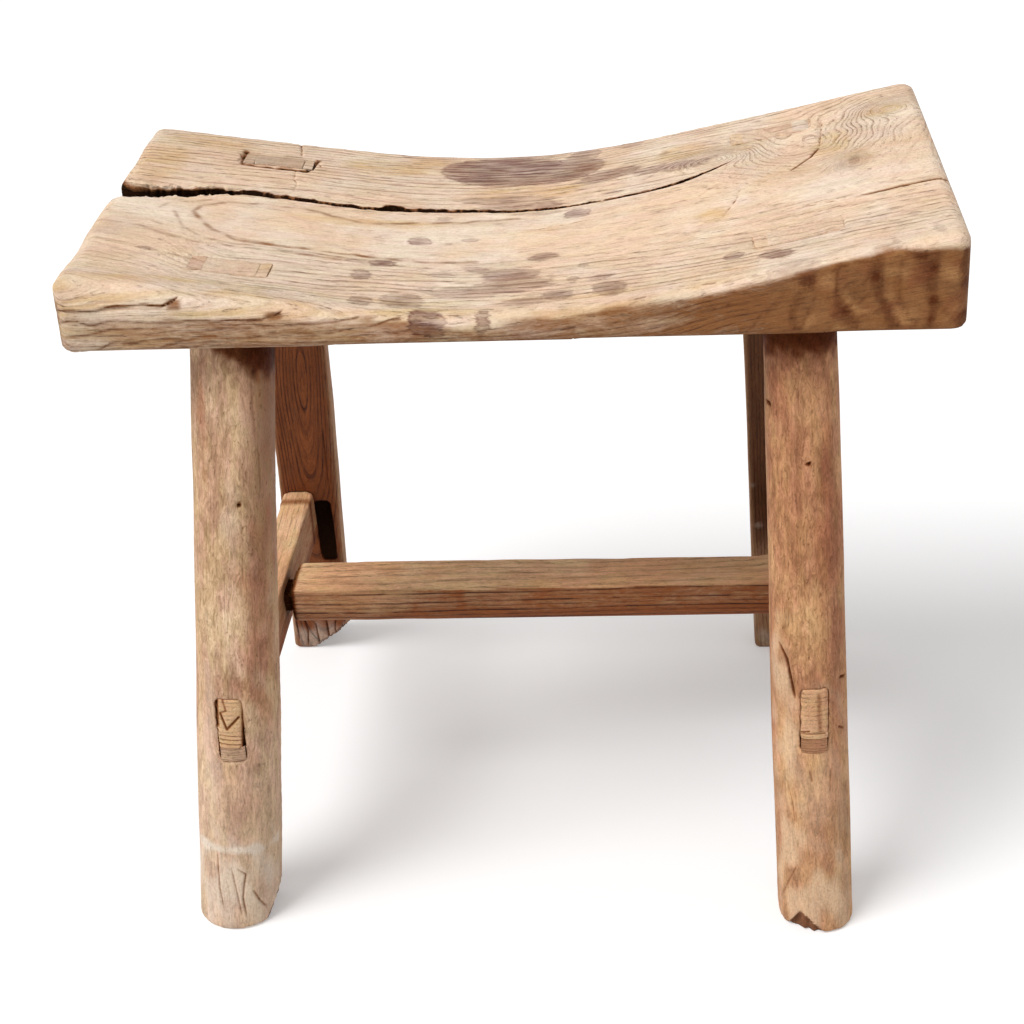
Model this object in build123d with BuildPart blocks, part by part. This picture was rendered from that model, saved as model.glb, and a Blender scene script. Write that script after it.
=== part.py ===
from build123d import *
from math import cos, radians, sin, tan
import os

os.makedirs("parts", exist_ok=True)

# A low farmhouse stool: one dished plank on four splayed legs, tied by an H of rails.
# Lengths are in millimetres. The floor is z = 0, +Z is up, the front is -Y, the right is +X.

# Seat plank. Its heights are measured up from its flat underside.
seat_width = 480.0
seat_depth = 262.0
seat_under_height = 365.0
seat_tilt = 1.0
left_end_height = 42.5
right_end_height = 55.0
ramp_meet_height = 6.8
ramp_meet_x = -7.0
saddle_radius = 550.0
plank_corner_radius = 9.0
plank_top_wear = 6.5
plank_under_wear = 3.0

# The split in the plank: a mouth at the left end, open right through, then a fine surface line.
split_mouth_width = 22.0
split_line_width = 1.6
split_line_depth = 6.0
# Each row: place along the half width, place across the half depth, width over the mouth's width.
split_open_shares = [
    (-1.030, 0.130, 2.20),
    (-0.985, 0.128, 1.45),
    (-0.940, 0.125, 1.00),
    (-0.900, 0.140, 0.86),
    (-0.835, 0.175, 0.68),
    (-0.760, 0.222, 0.48),
    (-0.690, 0.243, 0.26),
    (-0.535, 0.213, 0.17),
    (-0.420, 0.207, 0.19),
    (-0.300, 0.210, 0.15),
]
# Each row: place along the half width and across the half depth.
split_line_shares = [
    (-0.310, 0.210),
    (-0.200, 0.220),
    (-0.090, 0.205),
    (0.030, 0.185),
    (0.115, 0.195),
    (0.190, 0.212),
    (0.350, 0.228),
    (0.440, 0.290),
    (0.520, 0.400),
]

# Legs: half round outside, flat on the side that faces the middle of the stool.
# An inset runs from the plank's edge or end to the leg's axis, a rake or splay from there to the foot.
front_edge_inset = 43.0
front_rake = 61.5
front_flat_inset = 14.0
back_edge_inset = 35.5
back_rake = 56.0
back_flat_inset = 12.0
front_left_end_inset = 85.5
front_left_splay = 21.0
front_left_top_width = 46.0
front_left_foot_width = 50.0
front_right_end_inset = 84.0
front_right_splay = 17.5
front_right_top_width = 40.5
front_right_foot_width = 45.5
back_left_end_inset = 86.0
back_left_splay = 11.0
back_left_top_width = 41.0
back_left_foot_width = 43.0
back_right_end_inset = 89.5
back_right_splay = 21.5
back_right_top_width = 40.5
back_right_foot_width = 41.5
leg_arris = 2.4
foot_break_inset = 5.0
foot_break_angle = 40.0

# Leg tenons, which pass through the plank and end flush with the saddle.
leg_tenon_width = 30.0
leg_tenon_thickness = 17.0
leg_wedge_length = 40.0
leg_wedge_butt = 8.0

# Side rails, which run front to back with their tenons through the legs.
side_rail_end_inset = 72.0
side_rail_height = 148.0
side_rail_pitch = 1.6
side_rail_width = 21.0
side_rail_depth = 40.0
side_rail_under_radius = 8.5
side_tenon_width = 15.0
side_tenon_depth = 30.0
side_wedge_butt = 8.5

# An old mortise left open beside the left rail, in the flat of the back left leg.
spare_mortise_aside = 5.0
spare_mortise_width = 11.0
spare_mortise_height = 52.0
spare_mortise_depth = 14.0
spare_mortise_drop = 8.0

# Middle rail, half round underneath, with its tenons through the side rails.
middle_rail_drop = 0.5
middle_rail_y = -0.7
middle_rail_width = 37.0
middle_rail_depth = 28.0
middle_rail_under_radius = 13.0
middle_tenon_width = 22.0
middle_tenon_depth = 12.0
middle_wedge_butt = 5.0
left_shoulder_gap = 5.0

# Shared by the rails and the joints.
rail_arris_radius = 2.0
wedge_tip = 1.2
wedge_lead = 2.5
joint_fit = 0.1
overrun = 14.0

# The plank and the rails lean together by the seat's tilt, over a level floor.
lean = radians(seat_tilt)
across = Vector(cos(lean), 0, sin(lean))
upright = Vector(-sin(lean), 0, cos(lean))
backward = Vector(0, 1, 0)
half_width = seat_width / 2
half_depth = seat_depth / 2
side_rail_x = half_width - side_rail_end_inset
middle_rail_height = side_rail_height - middle_rail_drop
seat_plane = Plane(origin=(0, 0, seat_under_height), x_dir=across, z_dir=upright)
plank_side = Plane(origin=seat_plane.origin, x_dir=across, z_dir=-backward)


def saddle_solid(drop):
    """The plank's side profile drawn through its depth, with the saddle lowered by drop."""
    with BuildPart() as solid:
        with BuildSketch(plank_side) as profile:
            with BuildLine():
                Polyline(
                    (-half_width, 0),
                    (half_width, 0),
                    (half_width, right_end_height - drop),
                    (ramp_meet_x, ramp_meet_height - drop),
                    (-half_width, left_end_height - drop),
                    close=True,
                )
            make_face()
            ramps_meet = (ramp_meet_x, ramp_meet_height - drop, 0)
            fillet(profile.vertices().sort_by_distance(ramps_meet)[0], saddle_radius)
        extrude(amount=half_depth, both=True)
    return solid.part


def rim(faces):
    """The edges round the outside of a patch of faces."""
    edges = [edge for face in faces for edge in face.edges()]
    return [edge for edge in edges if sum(edge.is_same(other) for other in edges) == 1]


# The plank before its joints are cut: saddle, rounded corners and worn edges.
with BuildPart() as plank:
    add(saddle_solid(0))
    fillet(plank.edges().filter_by(Axis((0, 0, 0), upright)), plank_corner_radius)
    saddle_faces = plank.faces().filter_by(lambda face: face.normal_at().dot(upright) > cos(lean) / 2)
    fillet(rim(saddle_faces), plank_top_wear)
    underside = plank.faces().sort_by(Axis((0, 0, 0), upright))[0]
    fillet(underside.edges(), plank_under_wear)


def share_point(along, aside, offset):
    """A point of the plank's plan from its shares, moved across the grain by offset."""
    return (along * half_width, aside * half_depth + offset)


# The open part of the split, cut right through the plank.
with BuildPart() as split_open:
    with BuildSketch(seat_plane):
        with BuildLine():
            far_lip = [share_point(x, y, w * split_mouth_width / 2) for x, y, w in split_open_shares]
            near_lip = [share_point(x, y, -w * split_mouth_width / 2) for x, y, w in split_open_shares]
            Spline(*far_lip)
            Line(far_lip[-1], near_lip[-1])
            Spline(*near_lip)
            Line(near_lip[0], far_lip[0])
        make_face()
    extrude(amount=right_end_height + overrun)
    extrude(split_open.faces().sort_by(Axis((0, 0, 0), upright))[0], amount=overrun)

# The fine part of the split, a narrow groove that follows the saddle down its line.
with BuildPart() as split_line:
    with BuildSketch(seat_plane):
        with BuildLine():
            far_edge = [share_point(x, y, split_line_width / 2) for x, y in split_line_shares]
            near_edge = [share_point(x, y, -split_line_width / 2) for x, y in split_line_shares]
            Spline(*far_edge)
            Line(far_edge[-1], near_edge[-1])
            Spline(*near_edge)
            Line(near_edge[0], far_edge[0])
        make_face()
    extrude(amount=right_end_height + overrun)
    add(saddle_solid(split_line_depth), mode=Mode.SUBTRACT)


# Legs
class Leg:
    """One leg's stance: the signs of its side and end, its axis and its widths."""

    def __init__(self, side, end, end_inset, splay, top_width, foot_width):
        self.side = side
        self.end = end
        self.top_width = top_width
        self.foot_width = foot_width
        self.flat_inset = front_flat_inset if end < 0 else back_flat_inset
        top_x = half_width - end_inset
        top_y = half_depth - (front_edge_inset if end < 0 else back_edge_inset)
        foot_x = top_x + splay
        foot_y = top_y + (front_rake if end < 0 else back_rake)
        self.foot = Vector(side * foot_x, end * foot_y, 0)
        self.top = Vector(side * top_x, end * top_y, seat_under_height + side * top_x * tan(lean))
        self.axis = (self.top - self.foot).normalized()
        self.length = (self.top - self.foot).length
        self.frame = Plane(origin=self.top, x_dir=(1, 0, 0), z_dir=self.axis)

    def axis_y(self, height):
        """How far from the stool's middle the axis stands at a height above the floor."""
        rise = height / self.top.Z
        return abs(self.foot.Y + (self.top.Y - self.foot.Y) * rise)


legs = {
    "front_left": Leg(
        -1, -1, front_left_end_inset, front_left_splay, front_left_top_width, front_left_foot_width
    ),
    "front_right": Leg(
        1, -1, front_right_end_inset, front_right_splay, front_right_top_width, front_right_foot_width
    ),
    "back_left": Leg(
        -1, 1, back_left_end_inset, back_left_splay, back_left_top_width, back_left_foot_width
    ),
    "back_right": Leg(
        1, 1, back_right_end_inset, back_right_splay, back_right_top_width, back_right_foot_width
    ),
}


def leg_shaft(leg):
    """A leg from the floor to the plank's underside, before its joints are made."""
    stations = [
        (leg.frame.offset(-leg.length - overrun), leg.foot_width),
        (leg.frame.offset(overrun), leg.top_width),
    ]
    with BuildPart() as shaft:
        for station, width in stations:
            flat_y = -leg.end * leg.flat_inset
            with BuildSketch(station) as section:
                with BuildLine():
                    Polyline((-width / 2, 0), (-width / 2, flat_y), (width / 2, flat_y), (width / 2, 0))
                    ThreePointArc((width / 2, 0), (0, leg.end * width / 2), (-width / 2, 0))
                make_face()
                arrises = section.vertices().group_by(Axis.Y)[0 if leg.end > 0 else -1]
                chamfer(arrises, leg_arris)
        loft()
        split(bisect_by=Plane.XY, keep=Keep.TOP)
        split(bisect_by=seat_plane, keep=Keep.BOTTOM)
    return shaft.part


shafts = {name: leg_shaft(leg) for name, leg in legs.items()}


def bar(frame, width, depth, reach, play):
    """A rectangular bar through a frame's origin, both ways along its Z, thinner by play."""
    with BuildPart() as prism:
        with BuildSketch(frame):
            Rectangle(width - 2 * play, depth - 2 * play)
        extrude(amount=reach, both=True)
    return prism.part


def slip(frame, breadth, butt, run, play):
    """A wedge with one straight side on a frame's X axis, thicker along it, thinner by play."""
    slope = (butt - wedge_tip) / run
    thin_end = wedge_tip - slope * wedge_lead - play
    thick_end = butt + slope * overrun - play
    with BuildPart() as prism:
        with BuildSketch(frame):
            with BuildLine():
                Polyline(
                    (-wedge_lead, play),
                    (run + overrun, play),
                    (run + overrun, thick_end),
                    (-wedge_lead, thin_end),
                    close=True,
                )
            make_face()
        extrude(amount=breadth / 2 - play, both=True)
    return prism.part


def leg_wedge_frame(leg, hand):
    """Where a wedge lies against the left (-1) or right (+1) cheek of a leg's tenon."""
    cheek = leg.frame.origin + leg.frame.x_dir * (hand * leg_tenon_width / 2)
    outward = leg.frame.x_dir * hand
    return Plane(origin=cheek, x_dir=leg.axis, z_dir=leg.axis.cross(outward))


# Rails. Each rail's frame has its origin at the rail's top, over the stool's middle line.
rail_plane = Plane(origin=(0, 0, side_rail_height), x_dir=across, z_dir=upright)
side_frame = rail_plane.rotated((-side_rail_pitch, 0, 0))


def side_section_plane(side):
    """The plane of a side rail's section, with its origin on the middle of the rail's top."""
    return Plane(
        origin=side_frame.from_local_coords((side * side_rail_x, 0, 0)),
        x_dir=side_frame.x_dir,
        z_dir=-side_frame.y_dir,
    )


def side_tenon_plane(side):
    """The section plane moved down to the middle of the rail's tenons."""
    section = side_section_plane(side)
    return Plane(
        origin=section.from_local_coords((0, -side_tenon_depth / 2, 0)),
        x_dir=section.x_dir,
        z_dir=section.z_dir,
    )


def side_wedge_frame(leg):
    """Where a wedge lies under a side rail's tenon, driven in from outside the leg."""
    tenon_foot = side_rail_height - side_tenon_depth
    flat_y = leg.axis_y(tenon_foot) - leg.flat_inset
    start = (leg.side * side_rail_x, leg.end * flat_y, -side_tenon_depth)
    outward = side_frame.y_dir * leg.end
    return Plane(
        origin=side_frame.from_local_coords(start),
        x_dir=outward,
        z_dir=outward.cross(-side_frame.z_dir),
    )


def side_wedge_run(leg):
    """The depth of the leg where the wedge goes through it."""
    return leg.flat_inset + leg.foot_width / 2


middle_plane = Plane(origin=(0, middle_rail_y, middle_rail_height), x_dir=backward, z_dir=across)
middle_tenon_plane = Plane(
    origin=middle_plane.from_local_coords((0, -middle_rail_depth / 2, 0)),
    x_dir=backward,
    z_dir=across,
)
inner_face_x = side_rail_x - side_rail_width / 2
outer_face_x = side_rail_x + side_rail_width / 2


def middle_wedge_frame(side):
    """Where a wedge lies behind the middle rail's tenon, driven in from outside the side rail."""
    start = (middle_tenon_width / 2, 0, side * inner_face_x)
    outward = across * side
    return Plane(
        origin=middle_tenon_plane.from_local_coords(start),
        x_dir=outward,
        z_dir=outward.cross(backward),
    )


# Seat
with BuildPart() as seat:
    add(plank)
    add(split_open, mode=Mode.SUBTRACT)
    add(split_line, mode=Mode.SUBTRACT)
    for leg in legs.values():
        socket = bar(leg.frame, leg_tenon_width, leg_tenon_thickness, right_end_height + overrun, 0)
        add(socket, mode=Mode.SUBTRACT)
        for hand in (-1, 1):
            frame = leg_wedge_frame(leg, hand)
            add(slip(frame, leg_tenon_thickness, leg_wedge_butt, leg_wedge_length, 0), mode=Mode.SUBTRACT)
seat.part.label = "seat"
export_step(seat.part, "parts/seat.step")

# Legs with their tenons and their mortises for the side rails
for name, leg in legs.items():
    with BuildPart() as tenon:
        add(bar(leg.frame, leg_tenon_width, leg_tenon_thickness, right_end_height + overrun, joint_fit))
        add(plank, mode=Mode.INTERSECT)
    with BuildPart() as finished_leg:
        add(shafts[name])
        add(tenon)
        reach = leg.foot.length
        add(
            bar(side_tenon_plane(leg.side), side_tenon_width, side_tenon_depth, reach, 0),
            mode=Mode.SUBTRACT,
        )
        add(
            slip(side_wedge_frame(leg), side_tenon_width, side_wedge_butt, side_wedge_run(leg), 0),
            mode=Mode.SUBTRACT,
        )
        if name == "back_left":
            mortise_middle = side_frame.from_local_coords(
                (spare_mortise_aside - inner_face_x, 0, -spare_mortise_drop - spare_mortise_height / 2)
            )
            mortise_floor = leg.axis_y(side_rail_height) - leg.flat_inset + spare_mortise_depth
            mortise_plane = Plane(origin=mortise_middle, x_dir=across, z_dir=-side_frame.y_dir)
            add(
                bar(mortise_plane, spare_mortise_width, spare_mortise_height, mortise_floor, 0),
                mode=Mode.SUBTRACT,
            )
            break_line = (leg.foot.X - foot_break_inset, 0, 0)
            slope = radians(foot_break_angle)
            break_plane = Plane(origin=break_line, x_dir=(0, 1, 0), z_dir=(-sin(slope), 0, cos(slope)))
            split(bisect_by=break_plane, keep=Keep.TOP)
    finished_leg.part.label = f"leg_{name}"
    export_step(finished_leg.part, f"parts/leg_{name}.step")

# Wedges of the leg tenons
for name, leg in legs.items():
    for hand in (-1, 1):
        place = "outer" if hand == leg.side else "inner"
        with BuildPart() as leg_wedge:
            frame = leg_wedge_frame(leg, hand)
            add(slip(frame, leg_tenon_thickness, leg_wedge_butt, leg_wedge_length, joint_fit))
            add(plank, mode=Mode.INTERSECT)
        leg_wedge.part.label = f"seat_wedge_{name}_{place}"
        export_step(leg_wedge.part, f"parts/seat_wedge_{name}_{place}.step")

# Side rails, their tenons and the wedges under them
for side, hand_name in ((-1, "left"), (1, "right")):
    rail_legs = [(f"{end}_{hand_name}", legs[f"{end}_{hand_name}"]) for end in ("front", "back")]
    with BuildPart() as side_rail:
        with BuildSketch(side_section_plane(side)) as section:
            with Locations((0, -side_rail_depth / 2)):
                Rectangle(side_rail_width, side_rail_depth)
            fillet(section.vertices().group_by(Axis.Y)[0], side_rail_under_radius)
            fillet(section.vertices().group_by(Axis.Y)[-1], rail_arris_radius)
        extrude(amount=max(leg.axis_y(side_rail_height - side_rail_depth) for _, leg in rail_legs), both=True)
        for name, leg in rail_legs:
            add(shafts[name], mode=Mode.SUBTRACT)
        add(
            bar(middle_tenon_plane, middle_tenon_width, middle_tenon_depth, half_width, 0),
            mode=Mode.SUBTRACT,
        )
        add(
            slip(middle_wedge_frame(side), middle_tenon_depth, middle_wedge_butt, side_rail_width, 0),
            mode=Mode.SUBTRACT,
        )
    rail_body = side_rail.part
    for name, leg in rail_legs:
        with BuildPart() as side_tenon:
            reach = leg.foot.length
            add(bar(side_tenon_plane(side), side_tenon_width, side_tenon_depth, reach, joint_fit))
            add(shafts[name], mode=Mode.INTERSECT)
        with BuildPart() as side_rail:
            add(rail_body)
            add(side_tenon)
        rail_body = side_rail.part
    side_rail.part.label = f"side_rail_{hand_name}"
    export_step(side_rail.part, f"parts/side_rail_{hand_name}.step")

    for name, leg in rail_legs:
        with BuildPart() as side_wedge:
            frame = side_wedge_frame(leg)
            add(slip(frame, side_tenon_width, side_wedge_butt, side_wedge_run(leg), joint_fit))
            add(shafts[name], mode=Mode.INTERSECT)
        side_wedge.part.label = f"rail_wedge_{name}"
        export_step(side_wedge.part, f"parts/rail_wedge_{name}.step")

    with BuildPart() as middle_wedge:
        frame = middle_wedge_frame(side)
        add(slip(frame, middle_tenon_depth, middle_wedge_butt, side_rail_width, joint_fit))
        rail_slab = Plane(origin=side_section_plane(side).origin, x_dir=backward, z_dir=across)
        add(bar(rail_slab, half_depth, seat_under_height, side_rail_width / 2, 0), mode=Mode.INTERSECT)
    middle_wedge.part.label = f"middle_wedge_{hand_name}"
    export_step(middle_wedge.part, f"parts/middle_wedge_{hand_name}.step")

# Middle rail
with BuildPart() as middle_rail:
    with BuildSketch(middle_plane) as section:
        with Locations((0, -middle_rail_depth / 2)):
            Rectangle(middle_rail_width, middle_rail_depth)
        fillet(section.vertices().group_by(Axis.Y)[0], middle_rail_under_radius)
        fillet(section.vertices().group_by(Axis.Y)[-1], rail_arris_radius)
    extrude(amount=inner_face_x)
    extrude(section.sketch, amount=left_shoulder_gap - inner_face_x)
    add(bar(middle_tenon_plane, middle_tenon_width, middle_tenon_depth, outer_face_x, joint_fit))
middle_rail.part.label = "middle_rail"
export_step(middle_rail.part, "parts/middle_rail.step")
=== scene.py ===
from functools import reduce
from math import cos, pi, radians, sin

import bmesh
import bpy
import numpy as np
from mathutils import Matrix, Vector


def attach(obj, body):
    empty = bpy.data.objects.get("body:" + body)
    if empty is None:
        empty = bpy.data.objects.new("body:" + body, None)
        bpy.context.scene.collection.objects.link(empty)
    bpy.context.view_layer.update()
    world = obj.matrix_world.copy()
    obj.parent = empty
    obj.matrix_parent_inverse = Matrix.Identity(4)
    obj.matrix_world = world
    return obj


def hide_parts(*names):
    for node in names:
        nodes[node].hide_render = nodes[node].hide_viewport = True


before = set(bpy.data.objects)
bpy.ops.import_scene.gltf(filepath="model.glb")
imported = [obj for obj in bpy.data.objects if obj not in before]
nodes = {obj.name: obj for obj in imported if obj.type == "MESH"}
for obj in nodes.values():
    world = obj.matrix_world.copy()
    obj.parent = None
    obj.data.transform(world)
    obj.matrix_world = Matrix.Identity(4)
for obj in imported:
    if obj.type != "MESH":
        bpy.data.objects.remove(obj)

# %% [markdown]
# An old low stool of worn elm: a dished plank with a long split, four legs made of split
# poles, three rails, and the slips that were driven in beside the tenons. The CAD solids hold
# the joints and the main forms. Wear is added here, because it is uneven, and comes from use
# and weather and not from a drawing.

metre = 1000  # in millimetres
scene = bpy.context.scene
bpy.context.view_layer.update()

# %% [markdown]
# The stool stands on z = 0 and its front is -Y. The picture was taken from a little above a
# standing child's height, looking down at about 29 degrees, so the dished top shows almost as
# large as the legs. The camera is built from that pitch, a small turn and a small roll.

# %% Camera
picture_width = 1024
focal_pixels = 1998.1
pitch, yaw, roll = 0.5034, 0.0813, -0.0435
forward = Vector((-sin(yaw) * cos(pitch), cos(yaw) * cos(pitch), -sin(pitch)))
level_right = Vector((cos(yaw), sin(yaw), 0))
level_up = level_right.cross(forward)
camera_right = cos(roll) * level_right + sin(roll) * level_up
camera_up = cos(roll) * level_up - sin(roll) * level_right
lens = bpy.data.cameras.new("camera")
lens.sensor_width = 36
lens.lens = lens.sensor_width * focal_pixels / picture_width
lens.shift_x = 0.0069
lens.shift_y = -0.0008
lens.clip_start = 0.01
camera = bpy.data.objects.new("camera", lens)
camera.matrix_world = Matrix((camera_right, camera_up, -forward)).transposed().to_4x4()
camera.location = (0.0741, -1.0915, 0.7946)
scene.collection.objects.link(camera)
scene.camera = camera
scene.view_settings.view_transform = "Standard"
print("lens in mm:", round(lens.lens, 2))


# %% [markdown]
# Every material below is a small graph of nodes. This helper adds one node, sets its plain
# values and plugs what is a socket into what is an input, so a graph reads like a formula.

# %% Node helper
class Graph:
    """A node tree with short calls for the nodes that the wood needs."""

    def __init__(self, tree):
        self.tree = tree

    def add(self, kind, *inputs, out=0, **settings):
        """Adds a node, sets its settings and inputs, and returns one of its outputs."""
        node = self.tree.nodes.new(kind)
        for key, value in settings.items():
            setattr(node, key, value)
        for index, value in enumerate(inputs):
            self.plug(node, index, value)
        return node.outputs[out]

    def plug(self, node, key, value):
        if isinstance(value, bpy.types.NodeSocket):
            self.tree.links.new(value, node.inputs[key])
        elif value is not None:
            node.inputs[key].default_value = value

    def math(self, operation, *inputs, clamp=False):
        return self.add("ShaderNodeMath", *inputs, operation=operation, use_clamp=clamp)

    def times(self, first, *others):
        """The product of two or more values."""
        return reduce(lambda product, other: self.math("MULTIPLY", product, other), others, first)

    def plus(self, first, second):
        return self.math("ADD", first, second)

    def noise(self, vector, scale, detail, rough=0.5, twist=0.0):
        node = self.tree.nodes.new("ShaderNodeTexNoise")
        keys = ("Vector", "Scale", "Detail", "Roughness", "Distortion")
        for key, value in zip(keys, (vector, scale, detail, rough, twist)):
            self.plug(node, key, value)
        return node.outputs["Fac"]

    def spread(self, value, low, high, to_low=0.0, to_high=1.0):
        """Maps low..high to to_low..to_high with soft ends, and stops there."""
        node = self.tree.nodes.new("ShaderNodeMapRange")
        node.interpolation_type = "SMOOTHSTEP"
        for key, item in enumerate((value, low, high, to_low, to_high)):
            self.plug(node, key, item)
        return node.outputs[0]

    def mix(self, share, first, second, blend="MIX"):
        node = self.tree.nodes.new("ShaderNodeMix")
        node.data_type = "RGBA"
        node.blend_type = blend
        for key, item in ((0, share), (6, first), (7, second)):
            self.plug(node, key, item)
        return node.outputs[2]

    def ramp(self, value, stops):
        """Maps a value to greys, through stops of a place and a grey."""
        node = self.tree.nodes.new("ShaderNodeValToRGB")
        self.plug(node, 0, value)
        band = node.color_ramp
        while len(band.elements) < len(stops):
            band.elements.new(0.5)
        for element, (place, grey) in zip(band.elements, stops):
            element.position = place
            element.color = (grey, grey, grey, 1)
        return node.outputs[0]


def paint(red, green, blue):
    """A colour as a screen shows it, 0 to 255, as the linear colour that a shader takes."""
    shares = [channel / 255 for channel in (red, green, blue)]
    linear = [s / 12.92 if s <= 0.04045 else ((s + 0.055) / 1.055) ** 2.4 for s in shares]
    return (*linear, 1.0)


# %% [markdown]
# The photograph is a cut-out on white. A broad soft sun from the upper left and an even pale
# sky give the same light: the top is brightest, the fronts about half as bright, and the
# right sides a little darker than the left. The floor keeps the stool's soft shadow.

# %% Floor, sky and light
bpy.ops.mesh.primitive_plane_add(size=14)
floor = bpy.context.object
floor.name = "floor"
floor_paint = bpy.data.materials.new("floor_white")
floor_paint.use_nodes = True
graph = Graph(floor_paint.node_tree)
floor_shader = floor_paint.node_tree.nodes["Principled BSDF"]
floor_shader.inputs["Base Color"].default_value = (0.86, 0.86, 0.86, 1)
floor_shader.inputs["Roughness"].default_value = 0.9
floor_shader.inputs["Specular IOR Level"].default_value = 0.0
camera_ray = graph.add("ShaderNodeLightPath", out=0)
floor_shader.inputs["Emission Color"].default_value = (1, 1, 1, 1)
graph.plug(floor_shader, "Emission Strength", graph.times(camera_ray, 0.26))
floor.data.materials.append(floor_paint)

sky = bpy.data.worlds.new("sky")
sky.use_nodes = True
scene.world = sky
graph = Graph(sky.node_tree)
light_path = sky.node_tree.nodes.new("ShaderNodeLightPath")
seen_rays = [light_path.outputs[kind] for kind in ("Is Camera Ray", "Is Glossy Ray")]
white_rays = graph.math("MAXIMUM", *seen_rays)
sky_strength = graph.add("ShaderNodeMapRange", white_rays, 0.0, 1.0, 0.45, 1.0)
sky_shader = sky.node_tree.nodes["Background"]
sky_shader.inputs["Color"].default_value = (1, 1, 1, 1)
graph.plug(sky_shader, "Strength", sky_strength)

lamp = bpy.data.lights.new("soft_sun", "SUN")
lamp.energy = 0.68 * pi
lamp.angle = radians(32)
sun = bpy.data.objects.new("soft_sun", lamp)
sun.rotation_euler = Vector((-0.52, -0.32, 0.79)).to_track_quat("Z", "Y").to_euler()
scene.collection.objects.link(sun)
print("light:", lamp.name, "energy", round(lamp.energy, 2))

# %% [markdown]
# Hand-made wood is never flat or straight. A sum of many slow sine waves gives gentle
# hand-worked unevenness that is the same each run. Soft steps, bells and mounds fade one
# surface into the next, as wear does.

# %% Unevenness
def waves(points, length, seed, count=28, stretch=(1, 1, 1)):
    """Smooth noise at points, from about -1 to 1, whose bumps are about length across.

    The points are an array, or a tuple of their three columns.
    """
    points = np.stack(points, 1) if isinstance(points, tuple) else points
    draw = np.random.default_rng(seed)
    directions = draw.normal(size=(count, 3))
    directions /= np.linalg.norm(directions, axis=1)[:, None]
    pace = draw.uniform(0.6, 1.5, count)[:, None]
    turns = directions * (2 * pi / length) * pace / np.array(stretch)
    phases = draw.uniform(0, 2 * pi, count)
    return np.sin(points @ turns.T + phases).sum(1) * (1.6 / count ** 0.5) / 1.6


def soft_step(value, low, high):
    """0 below low, 1 above high, smooth between."""
    share = np.clip((value - low) / (high - low), 0, 1)
    return share * share * (3 - 2 * share)


def bell(away, width, power=2):
    """1 on a mark, and soon 0 away from it."""
    return np.exp(-(away / width) ** power)


def mound(x, y, centre, reach, power=2):
    """1 at a centre, fading by one reach along x and another along y."""
    return np.exp(-((x - centre[0]) / reach[0]) ** power - ((y - centre[1]) / reach[1]) ** power)


def strongest(*fields):
    """The largest of some fields at each point."""
    return reduce(np.maximum, fields)


# %% [markdown]
# The solids have few, large faces, which can't bend. So the CAD mesh of each piece is copied,
# merged, and rebuilt as small even quads that can be moved one by one. Places are read and
# written in millimetres, because marks on wood are easiest to give that way.

# %% Fine copies
merge_distance = 1e-6


def fine_copy(node, voxel, name, change=None):
    """A copy of a CAD node as even quads of the given size, with no material."""
    mesh = nodes[node].data.copy()
    mesh.materials.clear()
    shape = bmesh.new()
    shape.from_mesh(mesh)
    bmesh.ops.remove_doubles(shape, verts=shape.verts, dist=merge_distance)
    if change:
        change(shape)
    shape.to_mesh(mesh)
    shape.free()
    piece = bpy.data.objects.new(name, mesh)
    scene.collection.objects.link(piece)
    remesh = piece.modifiers.new("even quads", "REMESH")
    remesh.mode = "VOXEL"
    remesh.voxel_size = voxel
    evaluated = piece.evaluated_get(bpy.context.evaluated_depsgraph_get())
    rebuilt = bpy.data.meshes.new_from_object(evaluated)
    piece.modifiers.clear()
    piece.data = rebuilt
    rebuilt.name = name
    return piece


def points_of(mesh):
    places = np.empty(len(mesh.vertices) * 3)
    mesh.vertices.foreach_get("co", places)
    return places.reshape(-1, 3) * metre


def normals_of(mesh):
    facing = np.empty(len(mesh.vertices) * 3)
    mesh.vertex_normals.foreach_get("vector", facing)
    return facing.reshape(-1, 3)


def move_points(mesh, points):
    mesh.vertices.foreach_set("co", (points / metre).ravel())
    mesh.update()


def store(mesh, name, columns):
    """Keeps three numbers at each vertex for the material to read."""
    values = np.empty((len(mesh.vertices), 3), np.float32)
    for k, column in enumerate(columns):
        values[:, k] = column
    field = mesh.attributes.new(name, "FLOAT_VECTOR", "POINT")
    field.data.foreach_set("vector", values.ravel())


def store_wood(mesh, grain, place, tone, marks, lines):
    """Keeps all that the wood's material reads. Grain and place are in millimetres.

    Grain is the way along it, the ring number, and the way round the heart. Tone is the old
    skin, which on the legs and rails also holds painted light and shade, then how far inside a
    stain and its depth. Marks are dirt and painted shade, honey and ash tints, and
    lines are the share of grain lines, chalk and blush.
    """
    along, rings, aside = grain
    store(mesh, "grain", (along / metre, rings, aside / metre))
    store(mesh, "place", [column / metre for column in place])
    for name, columns in (("tone", tone), ("marks", marks), ("lines", lines)):
        store(mesh, name, columns)


def refine(mesh, chosen, cuts=1):
    """Splits the faces whose corners are chosen into smaller ones."""
    shape = bmesh.new()
    shape.from_mesh(mesh)
    shape.verts.ensure_lookup_table()
    edges = [e for e in shape.edges if chosen[e.verts[0].index] and chosen[e.verts[1].index]]
    bmesh.ops.subdivide_edges(shape, edges=edges, cuts=cuts, use_grid_fill=True)
    shape.to_mesh(mesh)
    shape.free()


def widened(values, chosen, by):
    """How far to move values from the middle of the chosen ones, so that those grow by that."""
    picked = values[chosen]
    return (values - (picked.max() + picked.min()) / 2) * 2 * by / np.ptp(picked)


def finish_piece(piece, slot, *replaced, smooth=True):
    """Shading, and what the frame needs to know of a piece."""
    if smooth:
        piece.data.shade_smooth()
    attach(piece, "root")
    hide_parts(*replaced)
    print(piece.name, "faces:", len(piece.data.polygons))


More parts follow.
